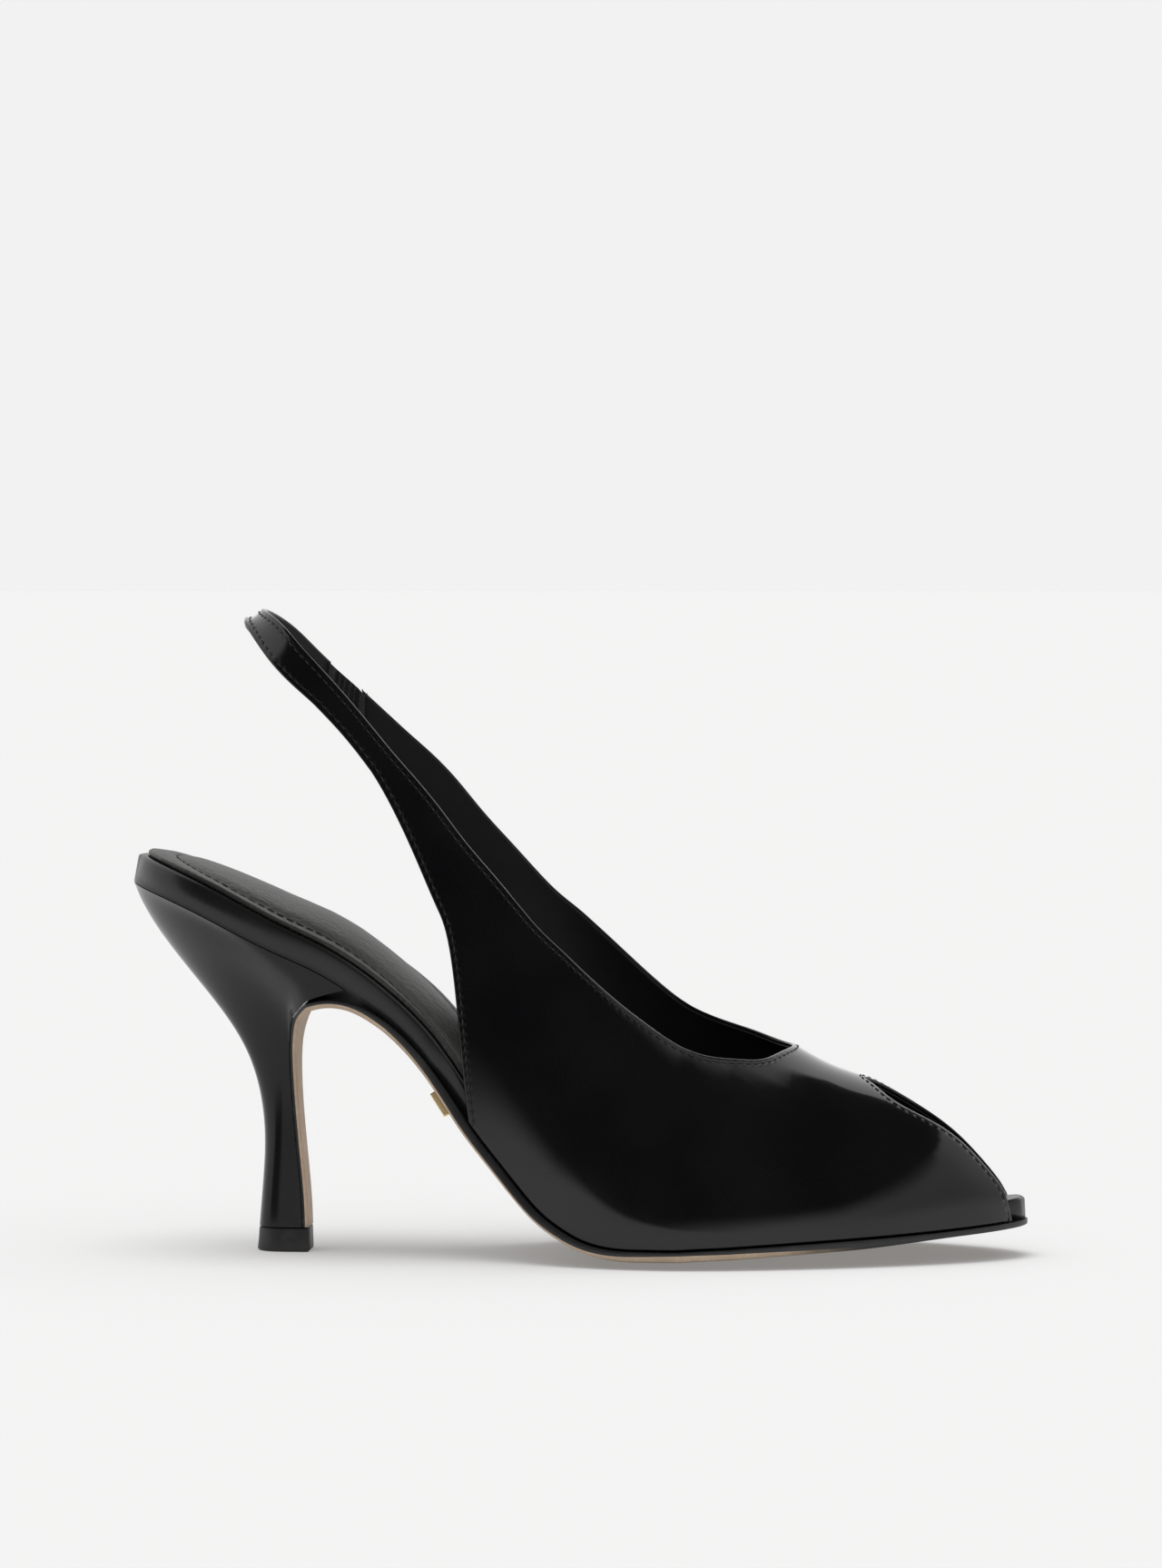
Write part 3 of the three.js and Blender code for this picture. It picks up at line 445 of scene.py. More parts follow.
# Cross-sections of the last above its bottom line: shares of the instep height, of the ball
# width, of the ridge, and of the half width at the outer and the inner side
SECTIONS = table(
    "along ridge shift side_outer side_inner lean_outer lean_inner crown_outer crown_inner",
    (0.251, 2.4, 0, 0.55, 0.55, 1.05, 1.15, 1.15, 1.4),
    (0.325, 2.26, 0.01, 0.52, 0.52, 1.1, 1.4, 1.3, 1.75),
    (0.385, 2.24, 0.02, 0.5, 0.5, 1.1, 1.45, 1.3, 1.85),
    (0.445, 2.14, 0.035, 0.48, 0.5, 1.06, 1.2, 1.08, 1.46),
    (0.509, 1.94, 0.05, 0.46, 0.5, 1.03, 1.07, 0.88, 1),
    (0.569, 1.68, 0.06, 0.45, 0.5, 1.02, 1.02, 0.66, 0.76),
    (0.629, 1.4, 0.065, 0.45, 0.52, 1.02, 1.02, 0.53, 0.68),
    (0.684, 1.18, 0.065, 0.46, 0.54, 1.02, 1.02, 0.48, 0.64),
    (0.74, 0.985, 0.062, 0.48, 0.56, 1.02, 1.02, 0.45, 0.6),
    (0.78, 0.87, 0.058, 0.5, 0.58, 1.02, 1.02, 0.45, 0.58),
    (0.82, 0.79, 0.052, 0.53, 0.6, 1.02, 1.02, 0.47, 0.58),
    (0.88, 0.655, 0.045, 0.6, 0.62, 1.02, 1.02, 0.55, 0.54),
    (0.925, 0.515, 0.036, 0.66, 0.62, 1.02, 1.02, 0.66, 0.5),
    (0.96, 0.34, 0.03, 0.7, 0.64, 1.02, 1.02, 0.75, 0.54),
    (1, 0.02, 0.026, 0.7, 0.7, 1.02, 1.02, 0.75, 0.6),
)

# Top edge from the back of the sling to the throat: heights as shares of the instep height
TOPLINE = table(
    "along outer inner",
    (0.144, 1.7, 1.7), (0.17, 1.69, 1.658), (0.2, 1.615, 1.572), (0.251, 1.51, 1.49),
    (0.3065, 1.4, 1.458), (0.352, 1.395, 1.495), (0.39, 1.43, 1.545), (0.4447, 1.45, 1.58),
    (0.504, 1.415, 1.575), (0.555, 1.275, 1.43), (0.6, 1.12, 1.25), (0.645, 1.005, 1.13),
    (0.685, 0.965, 1.065), (0.715, 0.955, 1.012), (0.73, 0.975, 0.99), (0.74, 0.985, 0.985),
)

# Lower edge of sling and quarter, down to the corner on the sole
QUARTER_EDGE = table(
    "along height",
    (0.125, 1.6), (0.16, 1.47), (0.2, 1.38), (0.251, 1.29), (0.29, 1.17), (0.33, 0.965),
    (0.352, 0.86), (0.371, 0.6), (0.379, 0.26), (0.386, 0),
)

# Toe opening: its reach to both sides of the ridge, as shares of its width
PEEP = table(
    "along outer inner",
    (0.82, 0, 0), (0.832, 0.2, 0.17), (0.85, 0.38, 0.3), (0.88, 0.46, 0.4),
    (0.92, 0.47, 0.44), (0.955, 0.45, 0.43), (0.986, 0.365, 0.36),
)
SLING_AXIS = 0.251
THROAT = TOPLINE["along"][-1]
PEEP_START, FLAP_END = PEEP["along"][0], PEEP["along"][-1]
CORNER = QUARTER_EDGE["along"][-1]
SIDE_NAME = {OUTER: "outer", INNER: "inner"}
ridge_share = round_curve(SECTIONS, "ridge")
ridge_shift = round_curve(SECTIONS, "shift")
section = {
    (name, side): round_curve(SECTIONS, f"{name}_{SIDE_NAME[side]}")
    for name in ("side", "lean", "crown") for side in (OUTER, INNER)
}
topline = {side: curve(TOPLINE["along"], TOPLINE[SIDE_NAME[side]]) for side in (OUTER, INNER)}
quarter_height = curve(QUARTER_EDGE["along"], QUARTER_EDGE["height"])


def peep_key(along):
    return np.sqrt(np.maximum(0, along - PEEP_START))


peep_half = {
    side: curve(peep_key(PEEP["along"]), PEEP[SIDE_NAME[side]]) for side in (OUTER, INNER)
}


def arc(share, start, second, third, end):
    """Cubic arc from start to end with its two inner weights."""
    rest = 1 - share
    inner = 3 * rest * share * (rest * second + share * third)
    return rest**3 * start + inner + share**3 * end


def section_point(side, along, share):
    """Point of the last's section: share runs from the sole (0) to the ridge (1)."""
    ridge = INSTEP_HEIGHT * ridge_share(along)
    shift = BALL_WIDTH * ridge_shift(along)
    reach = half_width(side, along) - side * shift
    lean, crown = section["lean", side](along), section["crown", side](along)
    out = arc(share, 1, lean, crown, 0) * reach
    up = arc(share, 0, section["side", side](along), 1, 1) * ridge
    edge = cross_lift(along, side) * (1 - share)
    height = bottom_line(along) + edge + up
    return np.stack([along_to_x(along) + 0 * height, shift + side * out, height], -1)


def find_share(test, shape):
    """Share of the section at which test turns true, found by halving."""
    low, high = np.zeros(shape), np.ones(shape)
    for _ in range(36):
        middle = (low + high) / 2
        hit = test(middle)
        low, high = np.where(hit, low, middle), np.where(hit, middle, high)
    return high


def share_at_height(side, along, height):
    level = bottom_line(along) + height
    return find_share(lambda s: section_point(side, along, s)[..., 2] >= level, along.shape)


def top_share(side, along):
    """Share of the section at the upper's top edge: toe opening, closed vamp or topline."""
    open_back = share_at_height(side, along, INSTEP_HEIGHT * topline[side](along))
    half = PEEP_WIDTH * peep_half[side](peep_key(along))
    shift = BALL_WIDTH * ridge_shift(along)
    toe = find_share(
        lambda s: np.abs(section_point(side, along, s)[..., 1] - shift) <= half, along.shape
    )
    return np.where(along < THROAT, open_back, np.where(along <= PEEP_START, 1, toe))


def foot_share(side, along):
    edge = share_at_height(side, along, INSTEP_HEIGHT * quarter_height(along))
    return np.where(along < CORNER, edge, 0)


def wall_points(side, top, foot, depths):
    """Outer face of the wall as columns from the top edge (depth 0) to the bottom edge (1)."""
    depth = depths[None, :]
    along = mix(top[:, None], foot[:, None], depth)
    share = mix(top_share(side, top)[:, None], foot_share(side, foot)[:, None], depth)
    return section_point(side, along, share)


def sling_points(side, turns, depths):
    """Outer face of the sling round the heel, from its straight part (0) to its middle (1)."""
    axis = np.array([SLING_AXIS])
    start = wall_points(side, axis, axis, depths)[0]
    heights = INSTEP_HEIGHT * mix(topline[side](SLING_AXIS), quarter_height(SLING_AXIS), depths)
    bulge = start[:, 2] - bottom_line(SLING_AXIS) - heights
    angle = turns[:, None] * math.pi / 2
    depth = depths[None, :]
    out = mix(np.abs(start[:, 1])[None, :], SLING_DEPTH - SLING_LEAN * (1 - depth), np.sin(angle) ** 2)
    x = along_to_x(SLING_AXIS) - out * np.sin(angle)
    along = x_to_along(x)
    height = INSTEP_HEIGHT * mix(topline[side](along), quarter_height(along), depth)
    z = bottom_line(along) + height + bulge[None, :] * (1 - np.sin(angle)) ** 2
    return np.stack([x, side * out * np.cos(angle), z], -1)


WALL_ROWS = 44
depths = np.linspace(0, 1, WALL_ROWS + 1)
GORE_START = 0.04
GORE_END = GORE_START + min(0.9, GORE_LENGTH / (SLING_DEPTH * math.pi / 2))
gap_turn = GAP / (SLING_DEPTH * math.pi / 2)


def run(first, last, count, power):
    """Shares from first to last, closer together at first where power is above 1."""
    return first + (last - first) * np.linspace(0, 1, count) ** power


# Where the columns of the wall meet its top and bottom edge, in stretches between the key cuts
STRETCHES = [
    (FLAP_END, PEEP_START, 0.55, FLAP_END, 0.827, 0.8, 46),
    (PEEP_START, THROAT, 1, 0.827, 0.745, 1, 18),
    (THROAT, 0.492, 1.7, 0.745, CORNER, 1.15, 76),
    (0.492, SLING_AXIS, 1.1, CORNER, SLING_AXIS, 1.45, 60),
]


def wall_columns():
    tops, feet = [], []
    for top, next_top, top_power, foot, next_foot, foot_power, count in STRETCHES:
        first = 1 if tops else 0
        if top_power < 1:
            top_run = run(next_top, top, count, 1 / top_power)[::-1]
        else:
            top_run = run(top, next_top, count, top_power)
        tops.append(top_run[first:])
        feet.append(run(foot, next_foot, count, foot_power)[first:])
    return np.concatenate(tops), np.concatenate(feet)


column_top, column_foot = wall_columns()
SLING_START = len(column_top) - 1
SLING_COLUMNS = 44


def eased(grid, middle, reach, passes):
    """Grid with its columns near middle relaxed along the strap, so two stretches run together."""
    grid = grid.copy()
    low, high = middle - reach, min(middle + reach, len(grid) - 1)
    for _ in range(passes):
        grid[low + 1:high] += 0.5 * (
            (grid[low:high - 1] + grid[low + 2:high + 1]) / 2 - grid[low + 1:high]
        )
    return grid


def strip(side):
    """Columns of one side from the toe to the gore, the outer strip going round the heel."""
    grid = wall_points(side, column_top, column_foot, depths)
    turns = np.linspace(0, 1, SLING_COLUMNS + 1)[1:]
    if side == OUTER:
        far = np.linspace(1, GORE_END + gap_turn, SLING_COLUMNS)[1:]
        grid = np.concatenate(
            [grid, sling_points(OUTER, turns, depths), sling_points(INNER, far, depths)]
        )
    else:
        near = np.array([GORE_START / 2, GORE_START - gap_turn])
        grid = np.concatenate([grid, sling_points(INNER, near, depths)])
    grid = eased(grid, SLING_START, 9, 60)
    return eased(grid, SLING_START + SLING_COLUMNS, 6, 12) if side == OUTER else grid


def merge_grids(grids):
    """Points and faces of several grids, with the points that they share merged."""
    points, numbers, faces = [], {}, []
    for grid in grids:
        index = np.empty(grid.shape[:2], int)
        for i, j in np.ndindex(index.shape):
            key = tuple(np.round(grid[i, j], 3))
            if key not in numbers:
                numbers[key] = len(points)
                points.append(grid[i, j])
            index[i, j] = numbers[key]
        quads = np.stack([index[:-1, :-1], index[:-1, 1:], index[1:, 1:], index[1:, :-1]], -1)
        flip = grid is grids[0]
        for quad in quads.reshape(-1, 4):
            corners = list(dict.fromkeys(quad[::-1] if flip else quad))
            if len(corners) > 2:
                faces.append(tuple(int(k) for k in corners))
    return np.array(points), faces


def boundary_of(faces):
    """Directed edges that only one face uses."""
    edges = {}
    for face in faces:
        for a, b in zip(face, face[1:] + face[:1]):
            if edges.pop((b, a), None) is None:
                edges[a, b] = True
    return list(edges)


def normals_of(points, faces):
    normals = np.zeros_like(points)
    for face in faces:
        corners = points[list(face)]
        size = np.cross(corners[2] - corners[0], corners[-1] - corners[1])
        if len(face) == 3:
            size = np.cross(corners[1] - corners[0], corners[2] - corners[0])
        normals[list(face)] += size
    return normals / np.linalg.norm(normals, axis=1, keepdims=True)


def tree_of(points):
    tree = KDTree(len(points))
    for i, point in enumerate(points):
        tree.insert(Vector(point), i)
    tree.balance()
    return tree


def sheet_layer(points, faces, below, wall, trim, rim_steps=6):
    """Closed layer of a shell: its outer face lies below the sheet's, its edges are round, and
    they end a trim inside the sheet's edges. Gives points, faces and the count of outer points."""
    rim = boundary_of(faces)
    normals = normals_of(points, faces)
    outward = {}
    for a, b in rim:
        along = points[b] - points[a]
        for k in (a, b):
            outward[k] = outward.get(k, 0) + np.cross(along, normals[k])
    outward = {k: v / np.linalg.norm(v) for k, v in outward.items()}
    rim_keys = list(outward)
    for _ in range(4):
        eased_ways = {k: 2 * v for k, v in outward.items()}
        for a, b in rim:
            eased_ways[a] = eased_ways[a] + outward[b]
            eased_ways[b] = eased_ways[b] + outward[a]
        outward = {k: v / np.linalg.norm(v) for k, v in eased_ways.items()}
    tree = tree_of(points[rim_keys])
    setback = trim + wall / 2
    reach = 3 * setback
    face = points.copy()
    for k, point in enumerate(points):
        found = tree.find_n(Vector(point), 4)
        distance = found[0][2]
        if distance < reach:
            away = -sum(outward[rim_keys[i]] / (d + 0.05) ** 2 for _, i, d in found)
            face[k] = point + away / np.linalg.norm(away) * setback * (1 - distance / reach)
    top, bottom = face - normals * below, face - normals * (below + wall)
    count = len(points)
    made = [*top, *bottom]
    all_faces = [*faces, *(tuple(k + count for k in reversed(f)) for f in faces)]
    first = len(made)
    row = {k: first + i * (rim_steps - 1) for i, k in enumerate(rim_keys)}
    for k in rim_keys:
        out = outward[k] - normals[k] * outward[k].dot(normals[k])
        out /= np.linalg.norm(out)
        centre = face[k] - normals[k] * (below + wall / 2)
        for i in range(1, rim_steps):
            angle = math.pi * i / rim_steps
            made.append(centre + wall / 2 * (out * math.sin(angle) + normals[k] * math.cos(angle)))
    for a, b in rim:
        ladder_a = [a, *range(row[a], row[a] + rim_steps - 1), a + count]
        ladder_b = [b, *range(row[b], row[b] + rim_steps - 1), b + count]
        for i in range(rim_steps):
            all_faces.append((ladder_a[i], ladder_a[i + 1], ladder_b[i + 1], ladder_b[i]))
    return np.array(made), all_faces, count


outer_strip, inner_strip = strip(OUTER), strip(INNER)
sheet_points, sheet_faces = merge_grids([outer_strip, inner_strip])
corner_column = int(np.argmin(np.abs(column_foot - CORNER)))
throat_column = STRETCHES[0][-1] + STRETCHES[1][-1] - 2
peep_column = STRETCHES[0][-1] - 1

# The free edges, each as the line of points that its fold follows
top_edge = np.concatenate([
    inner_strip[throat_column:, 0][::-1], outer_strip[throat_column + 1:, 0],
])
outer_foot_edge = outer_strip[corner_column:, -1]
inner_foot_edge = inner_strip[corner_column:, -1][::-1]
peep_edge = np.concatenate([
    outer_strip[0, ::-1], outer_strip[1:peep_column + 1, 0],
    inner_strip[:peep_column, 0][::-1], inner_strip[0, 1:],
])


def even_line(line, step):
    """The line with points an even step apart."""
    lengths = np.concatenate([[0], np.cumsum(np.linalg.norm(np.diff(line, axis=0), axis=1))])
    at = np.arange(0, lengths[-1], step)
    return np.stack([np.interp(at, lengths, line[:, k]) for k in range(3)], -1)


def seam_map(mesh, lines, step=0.25):
    """UV map of each point's run along the nearest free edge and its distance from it, in mm."""
    even = [even_line(line, step) for line in lines]
    runs = np.concatenate([np.arange(len(line)) * step for line in even])
    tree = tree_of(np.concatenate(even))
    found = [tree.find(v.co / MM) for v in mesh.vertices]
    layer = mesh.uv_layers.new(name="seam")
    corners = np.empty(len(mesh.loops), int)
    mesh.loops.foreach_get("vertex_index", corners)
    values = np.array([(runs[i], distance) for _, i, distance in found])[corners]
    layer.data.foreach_set("uv", values.astype(np.float32).ravel())


@finish
def glossy_leather(wire, rough, coat=0.75, seams=True):
    """Polished black leather: a hard clear finish over soft leather with hardly any grain."""
    place = wire.place()
    waves = wire.noise(place, 42.0, 1.5, 0.4)
    pull = wire.noise(place, 160.0, 2.0, 0.5)
    pores = wire.noise(place, 1500.0, 2.0, 0.6)
    normal = wire.bump(waves, 0.0016, 0.10)
    normal = wire.bump(pull, 0.0004, 0.06, normal)
    normal = wire.bump(pores, 0.000004, 0.25, normal)
    if seams:
        seam = wire.uv("seam")
        from_row = (seam.axis(1) - SEAM_INSET).size()
        groove = 1 - from_row.step(0.0, 0.55)
        from_hole = ((seam.axis(0) / STITCH_PITCH).fraction() - 0.5).size() * STITCH_PITCH
        hole = (1 - from_hole.step(0.1, 0.6)) * (1 - from_row.step(0.1, 0.6))
        pucker = (1 - from_hole.step(0.0, 1.1)) * (1 - from_row.step(0.3, 1.3))
        depth = groove * 0.45 + hole * 0.9 + pucker * 0.25
        normal = wire.bump(1 - depth, 0.00030, 0.8, normal)
    return {
        "Base Color": wire.blend(
            waves.step(0.3, 0.8), (0.0035, 0.0035, 0.004), (0.006, 0.006, 0.006)
        ),
        "Roughness": rough + pull * 0.08 - 0.04,
        "Specular IOR Level": 0.12,
        "Coat Weight": coat,
        "Coat Roughness": 0.02,
        "Coat IOR": 1.47,
        "Normal": normal,
    }


patent = glossy_leather("upper_leather", 0.16)
leather_points, leather_faces, leather_count = sheet_layer(sheet_points, sheet_faces, 0, LEATHER, 0)
upper = make_piece(
    "upper_shell", leather_points, leather_faces, [patent], replaces=["upper"]
)
seam_map(upper.data, [top_edge, outer_foot_edge, inner_foot_edge, peep_edge])

# Lining. Thin smooth black leather glued inside the upper and trimmed just short of the fold,
# so a second fine edge shows inside the collar, the throat and the toe opening. The stitching
# of the folded edge goes through it.
LINING = 0.5
LINING_TRIM = 0.3
lining_leather = leather_finish(
    "lining_leather", (0.004, 0.004, 0.004), (0.007, 0.007, 0.007), 0.5, 0.45, 0.02, 0.3
)
lining_points, lining_faces, _ = sheet_layer(
    sheet_points, sheet_faces, LEATHER + 0.05, LINING, LINING_TRIM, 4
)
make_piece("upper_lining", lining_points, lining_faces, [lining_leather])

# Edge stitching. One row of black thread, a little over a millimetre from each folded edge:
# round the collar and throat, along the lower edge of quarter and strap, round the toe opening,
# and across both strap ends at the elastic.
THREAD = 0.42
STITCH_LENGTH = 1.6
STITCH_LIFT = 0.05


def stitch_tree():
    """Nodes that lay thread stitches end to end along a line."""
    tree = bpy.data.node_groups.new("stitch_row", "GeometryNodeTree")
    tree.interface.new_socket("Geometry", in_out="INPUT", socket_type="NodeSocketGeometry")
    for name in ("Pitch", "Length", "Thickness"):
        tree.interface.new_socket(name, in_out="INPUT", socket_type="NodeSocketFloat")
    tree.interface.new_socket("Material", in_out="INPUT", socket_type="NodeSocketMaterial")
    tree.interface.new_socket("Geometry", in_out="OUTPUT", socket_type="NodeSocketGeometry")
    wire = Wire(tree)
    given = tree.nodes.new("NodeGroupInput")
    line, pitch, length, thickness, material = (Wire(tree, given.outputs[i]) for i in range(5))
    route = wire.node("GeometryNodeMeshToCurve", {"Mesh": line})
    evened = wire.node(
        "GeometryNodeResampleCurve", {"Curve": route, "Length": pitch}, mode="LENGTH"
    )
    tangent = wire.node("GeometryNodeInputTangent")
    turn = wire.node("FunctionNodeAlignRotationToVector", {"Vector": tangent}, axis="X")
    stitch = wire.node("GeometryNodeMeshUVSphere", {"Segments": 8, "Rings": 5, "Radius": 0.5})
    scale = wire.node("ShaderNodeCombineXYZ", {0: length, 1: thickness, 2: thickness})
    placed = wire.node(
        "GeometryNodeInstanceOnPoints",
        {"Points": evened, "Instance": stitch, "Rotation": turn, "Scale": scale},
    )
    real = wire.node("GeometryNodeRealizeInstances", {"Geometry": placed})
    painted = wire.node("GeometryNodeSetMaterial", {"Geometry": real, "Material": material})
    wire.node("NodeGroupOutput", {0: painted})
    return tree


@finish
def thread_finish(wire, colour):
    """Bonded thread: twisted plies with a slight gloss."""
    place = wire.place()
    plies = wire.bands(place, "DIAGONAL", 2400.0, 1.0)
    shade = wire.noise(place, 300.0)
    return {
        "Base Color": wire.blend(shade, colour, [part * 1.8 for part in colour]),
        "Roughness": 0.42 + shade * 0.1,
        "Normal": wire.bump(plies, 0.00005, 0.6),
    }


stitch_nodes = stitch_tree()


def stitch_rows(name, lines, thread, pitch, length, thickness):
    """A piece with a row of stitches along each line of points, given in mm."""
    points, edges = [], []
    for line in lines:
        first = len(points)
        points.extend((np.asarray(line) * MM).tolist())
        edges.extend((i, i + 1) for i in range(first, len(points) - 1))
    mesh = bpy.data.meshes.new(name)
    mesh.from_pydata(points, edges, [])
    piece = add_object(name, mesh)
    modifier = piece.modifiers.new("stitches", "NODES")
    modifier.node_group = stitch_nodes
    values = {
        "Pitch": pitch * MM, "Length": length * MM, "Thickness": thickness * MM, "Material": thread,
    }
    for socket in stitch_nodes.interface.items_tree:
        if socket.in_out == "INPUT" and socket.name in values:
            modifier[socket.identifier] = values[socket.name]
    bpy.context.view_layer.update()
    depsgraph = bpy.context.evaluated_depsgraph_get()
    made = bpy.data.meshes.new_from_object(piece.evaluated_get(depsgraph))
    piece.modifiers.clear()
    piece.data = made
    made.shade_smooth()
    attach(piece, "root")


leather_tree = BVHTree.FromPolygons(
    [Vector(p) for p in leather_points], [f for f in leather_faces if max(f) < leather_count]
)


def onto(tree, points, lift):
    """The points moved to the nearest place on a surface and lifted off it."""
    found = [tree.find_nearest(Vector(p)) for p in points]
    return np.array([np.array(spot) + lift * np.array(normal) for spot, normal, _, _ in found])


def seam_line(edge, nearby):
    """Line of stitches at an inset from an edge, square to it and towards the points nearby."""
    forward = np.gradient(edge, axis=0)
    forward /= np.linalg.norm(forward, axis=1, keepdims=True)
    ways = nearby - edge
    ways = ways - forward * np.sum(ways * forward, axis=1, keepdims=True)
    ways /= np.linalg.norm(ways, axis=1, keepdims=True)
    return onto(leather_tree, edge + ways * SEAM_INSET, STITCH_LIFT)


NEAR_ROW = 4
top_inside = np.concatenate([
    inner_strip[throat_column:, NEAR_ROW][::-1], outer_strip[throat_column + 1:, NEAR_ROW],
])
top_inside[len(inner_strip) - throat_column - 1] = outer_strip[throat_column - NEAR_ROW, 0]
peep_inside = np.concatenate([
    outer_strip[NEAR_ROW, ::-1], outer_strip[1:peep_column + 1, NEAR_ROW],
    inner_strip[:peep_column, NEAR_ROW][::-1], inner_strip[NEAR_ROW, 1:],
])
peep_inside[WALL_ROWS + peep_column] = outer_strip[peep_column + NEAR_ROW, 0]

# Seams across the strap ends, set back from each end by a share of its last column's width
END_ROWS = slice(3, -3)
INNER_SETBACK = 1.2
inner_end, inner_before = inner_strip[-1, END_ROWS], inner_strip[-2, END_ROWS]
outer_end, outer_before = outer_strip[-1, END_ROWS], outer_strip[-2, END_ROWS]
strap_ends = [
    inner_end - (inner_end - inner_before) * INNER_SETBACK,
    outer_before - (outer_end - outer_before),
]
stitch_rows(
    "edge_stitching",
    [
        seam_line(top_edge, top_inside),
        seam_line(outer_foot_edge, outer_strip[corner_column:, -1 - NEAR_ROW]),
        seam_line(inner_foot_edge, inner_strip[corner_column:, -1 - NEAR_ROW][::-1]),
        seam_line(peep_edge, peep_inside),
        *(onto(leather_tree, line, STITCH_LIFT) for line in strap_ends),
    ],
    thread_finish("black_thread", (0.006, 0.006, 0.0065)),
    STITCH_PITCH, STITCH_LENGTH, THREAD,
)

# Elastic. A short ruched length of black elastic that closes the sling on the inner side of the
# foot. It is sewn in behind both strap ends, so it lies a little deeper than the leather and
# gathers in small folds.
GORE_THICKNESS = 1.2
GORE_RECESS = 0.35
GORE_RIBS = 7
GORE_RIB_STEPS = 12
GORE_TUCK = 1.2
GORE_RIB_DEPTH = 0.8


def gore_points():
    count = GORE_RIBS * GORE_RIB_STEPS + 1
    across = np.linspace(0.06, 0.94, 25)
    tuck = GORE_TUCK / (SLING_DEPTH * math.pi / 2)
    turns = np.linspace(GORE_START - tuck, GORE_END + tuck, count)
    face = sling_points(INNER, turns, across)
    ahead = sling_points(INNER, turns - 0.01, across) - face
    lower = sling_points(INNER, turns, across + 0.01) - face
    normal = np.cross(lower, ahead)
    normal /= np.linalg.norm(normal, axis=2, keepdims=True)
    from_end = np.minimum(turns - turns[0], turns[-1] - turns)
    under = 1 - smooth(from_end, 0.8 * tuck, 2.2 * tuck)
    slip = 0.9 * np.sin(across * 9.0 + 0.4) + 0.5 * np.sin(across * 21.0)
    phase = np.arange(count)[:, None] / GORE_RIB_STEPS * 2 * math.pi + slip[None, :]
    rib = GORE_RIB_DEPTH * 0.5 * (1 - np.cos(phase))
    edge = 1 - 0.4 * np.abs(across * 2 - 1)[None, :] ** 6
    fold = rib * edge * (1 - under[:, None])
    level = GORE_RECESS + 0.25 + 1.05 * under[:, None] - fold
    outside = face + normal * level[..., None]
    inner_level = GORE_RECESS + GORE_THICKNESS + 0.9 * under[:, None] + GORE_RIB_DEPTH / 2 - fold
    inside = face + normal * inner_level[..., None]
    return np.concatenate([outside, inside[:, ::-1]], axis=1)


@finish
def elastic_finish(wire):
    """Knitted elastic: fine cords across a dull black ground."""
    place = wire.place()
    cords = wire.bands(place, "Z", 700.0, 1.5)
    fuzz = wire.noise(place, 1800.0)
    return {
        "Base Color": wire.blend(cords, (0.006, 0.006, 0.006), (0.02, 0.02, 0.021)),
        "Roughness": 0.75 + fuzz * 0.15,
        "Normal": wire.bump(cords + fuzz * 0.5, 0.00015, 0.7),
    }


gore_grid = gore_points()
make_piece(
    "ruched_elastic", gore_grid.reshape(-1, 3), loft_faces(*gore_grid.shape[:2]),
    [elastic_finish("elastic")], replaces=["elastic_gore"],
)

# Heel. A moulded core covered in one piece of the same black leather, pulled tight round the
# back and glued into the breast. It is wide at the seat, waisted behind, and slim down to the
# tip.
SOLE_EDGE = 0.4
SEAT_INSET = 0.2
TIP_LENGTH = 13
TIP_WIDTH = 11.4
TIP_HEIGHT = 5.7
TIP_FLARE = 0.4
FLAP_THICKNESS = 1.3
WAIST_END = 0.249
ROUND_SHARE = 0.52

# Rings from the tip (0) to the seat (1): how far back and front have moved out and risen, and
# how far the ring has widened
HEEL_RINGS = table(
    "back back_rise front front_rise width",
    (0, 0, 0, 0, 0), (-0.025, 0.11, -0.03, 0.136, -0.015), (-0.045, 0.25, -0.11, 0.32, -0.022),
    (-0.01, 0.382, -0.18, 0.49, -0.012), (0.08, 0.49, -0.215, 0.63, 0.035),
    (0.222, 0.585, -0.21, 0.74, 0.15), (0.418, 0.681, -0.16, 0.82, 0.34),
    (0.63, 0.777, -0.06, 0.88, 0.56), (0.822, 0.872, 0.14, 0.93, 0.78),
    (0.945, 0.95, 0.42, 0.965, 0.93), (1, 1, 1, 1, 1),
)
HEEL_STEPS = np.linspace(0, 10, 91)
heel_row = {name: curve(np.arange(11.0), column)(HEEL_STEPS) for name, column in HEEL_RINGS.items()}
seat_back = along_to_x(0) + SOLE_EDGE
seat_front = along_to_x(WAIST_END)
tip_back = -TIP_LENGTH / 2 + TIP_FLARE
tip_front = TIP_LENGTH / 2 - FLAP_THICKNESS - GAP


def heel_shares(round_steps, straight_steps):
    """Shares of a heel ring from its round back (0) to its front (1)."""
    back = ROUND_SHARE * (1 - np.cos(np.linspace(0, math.pi / 2, round_steps + 1)))
    return np.concatenate([back, np.linspace(ROUND_SHARE, 1, straight_steps + 1)[1:]])


def tip_half_width(share):
    turned = np.minimum(1, share / ROUND_SHARE)
    return TIP_WIDTH / 2 * np.sqrt(1 - (1 - turned) ** 2)


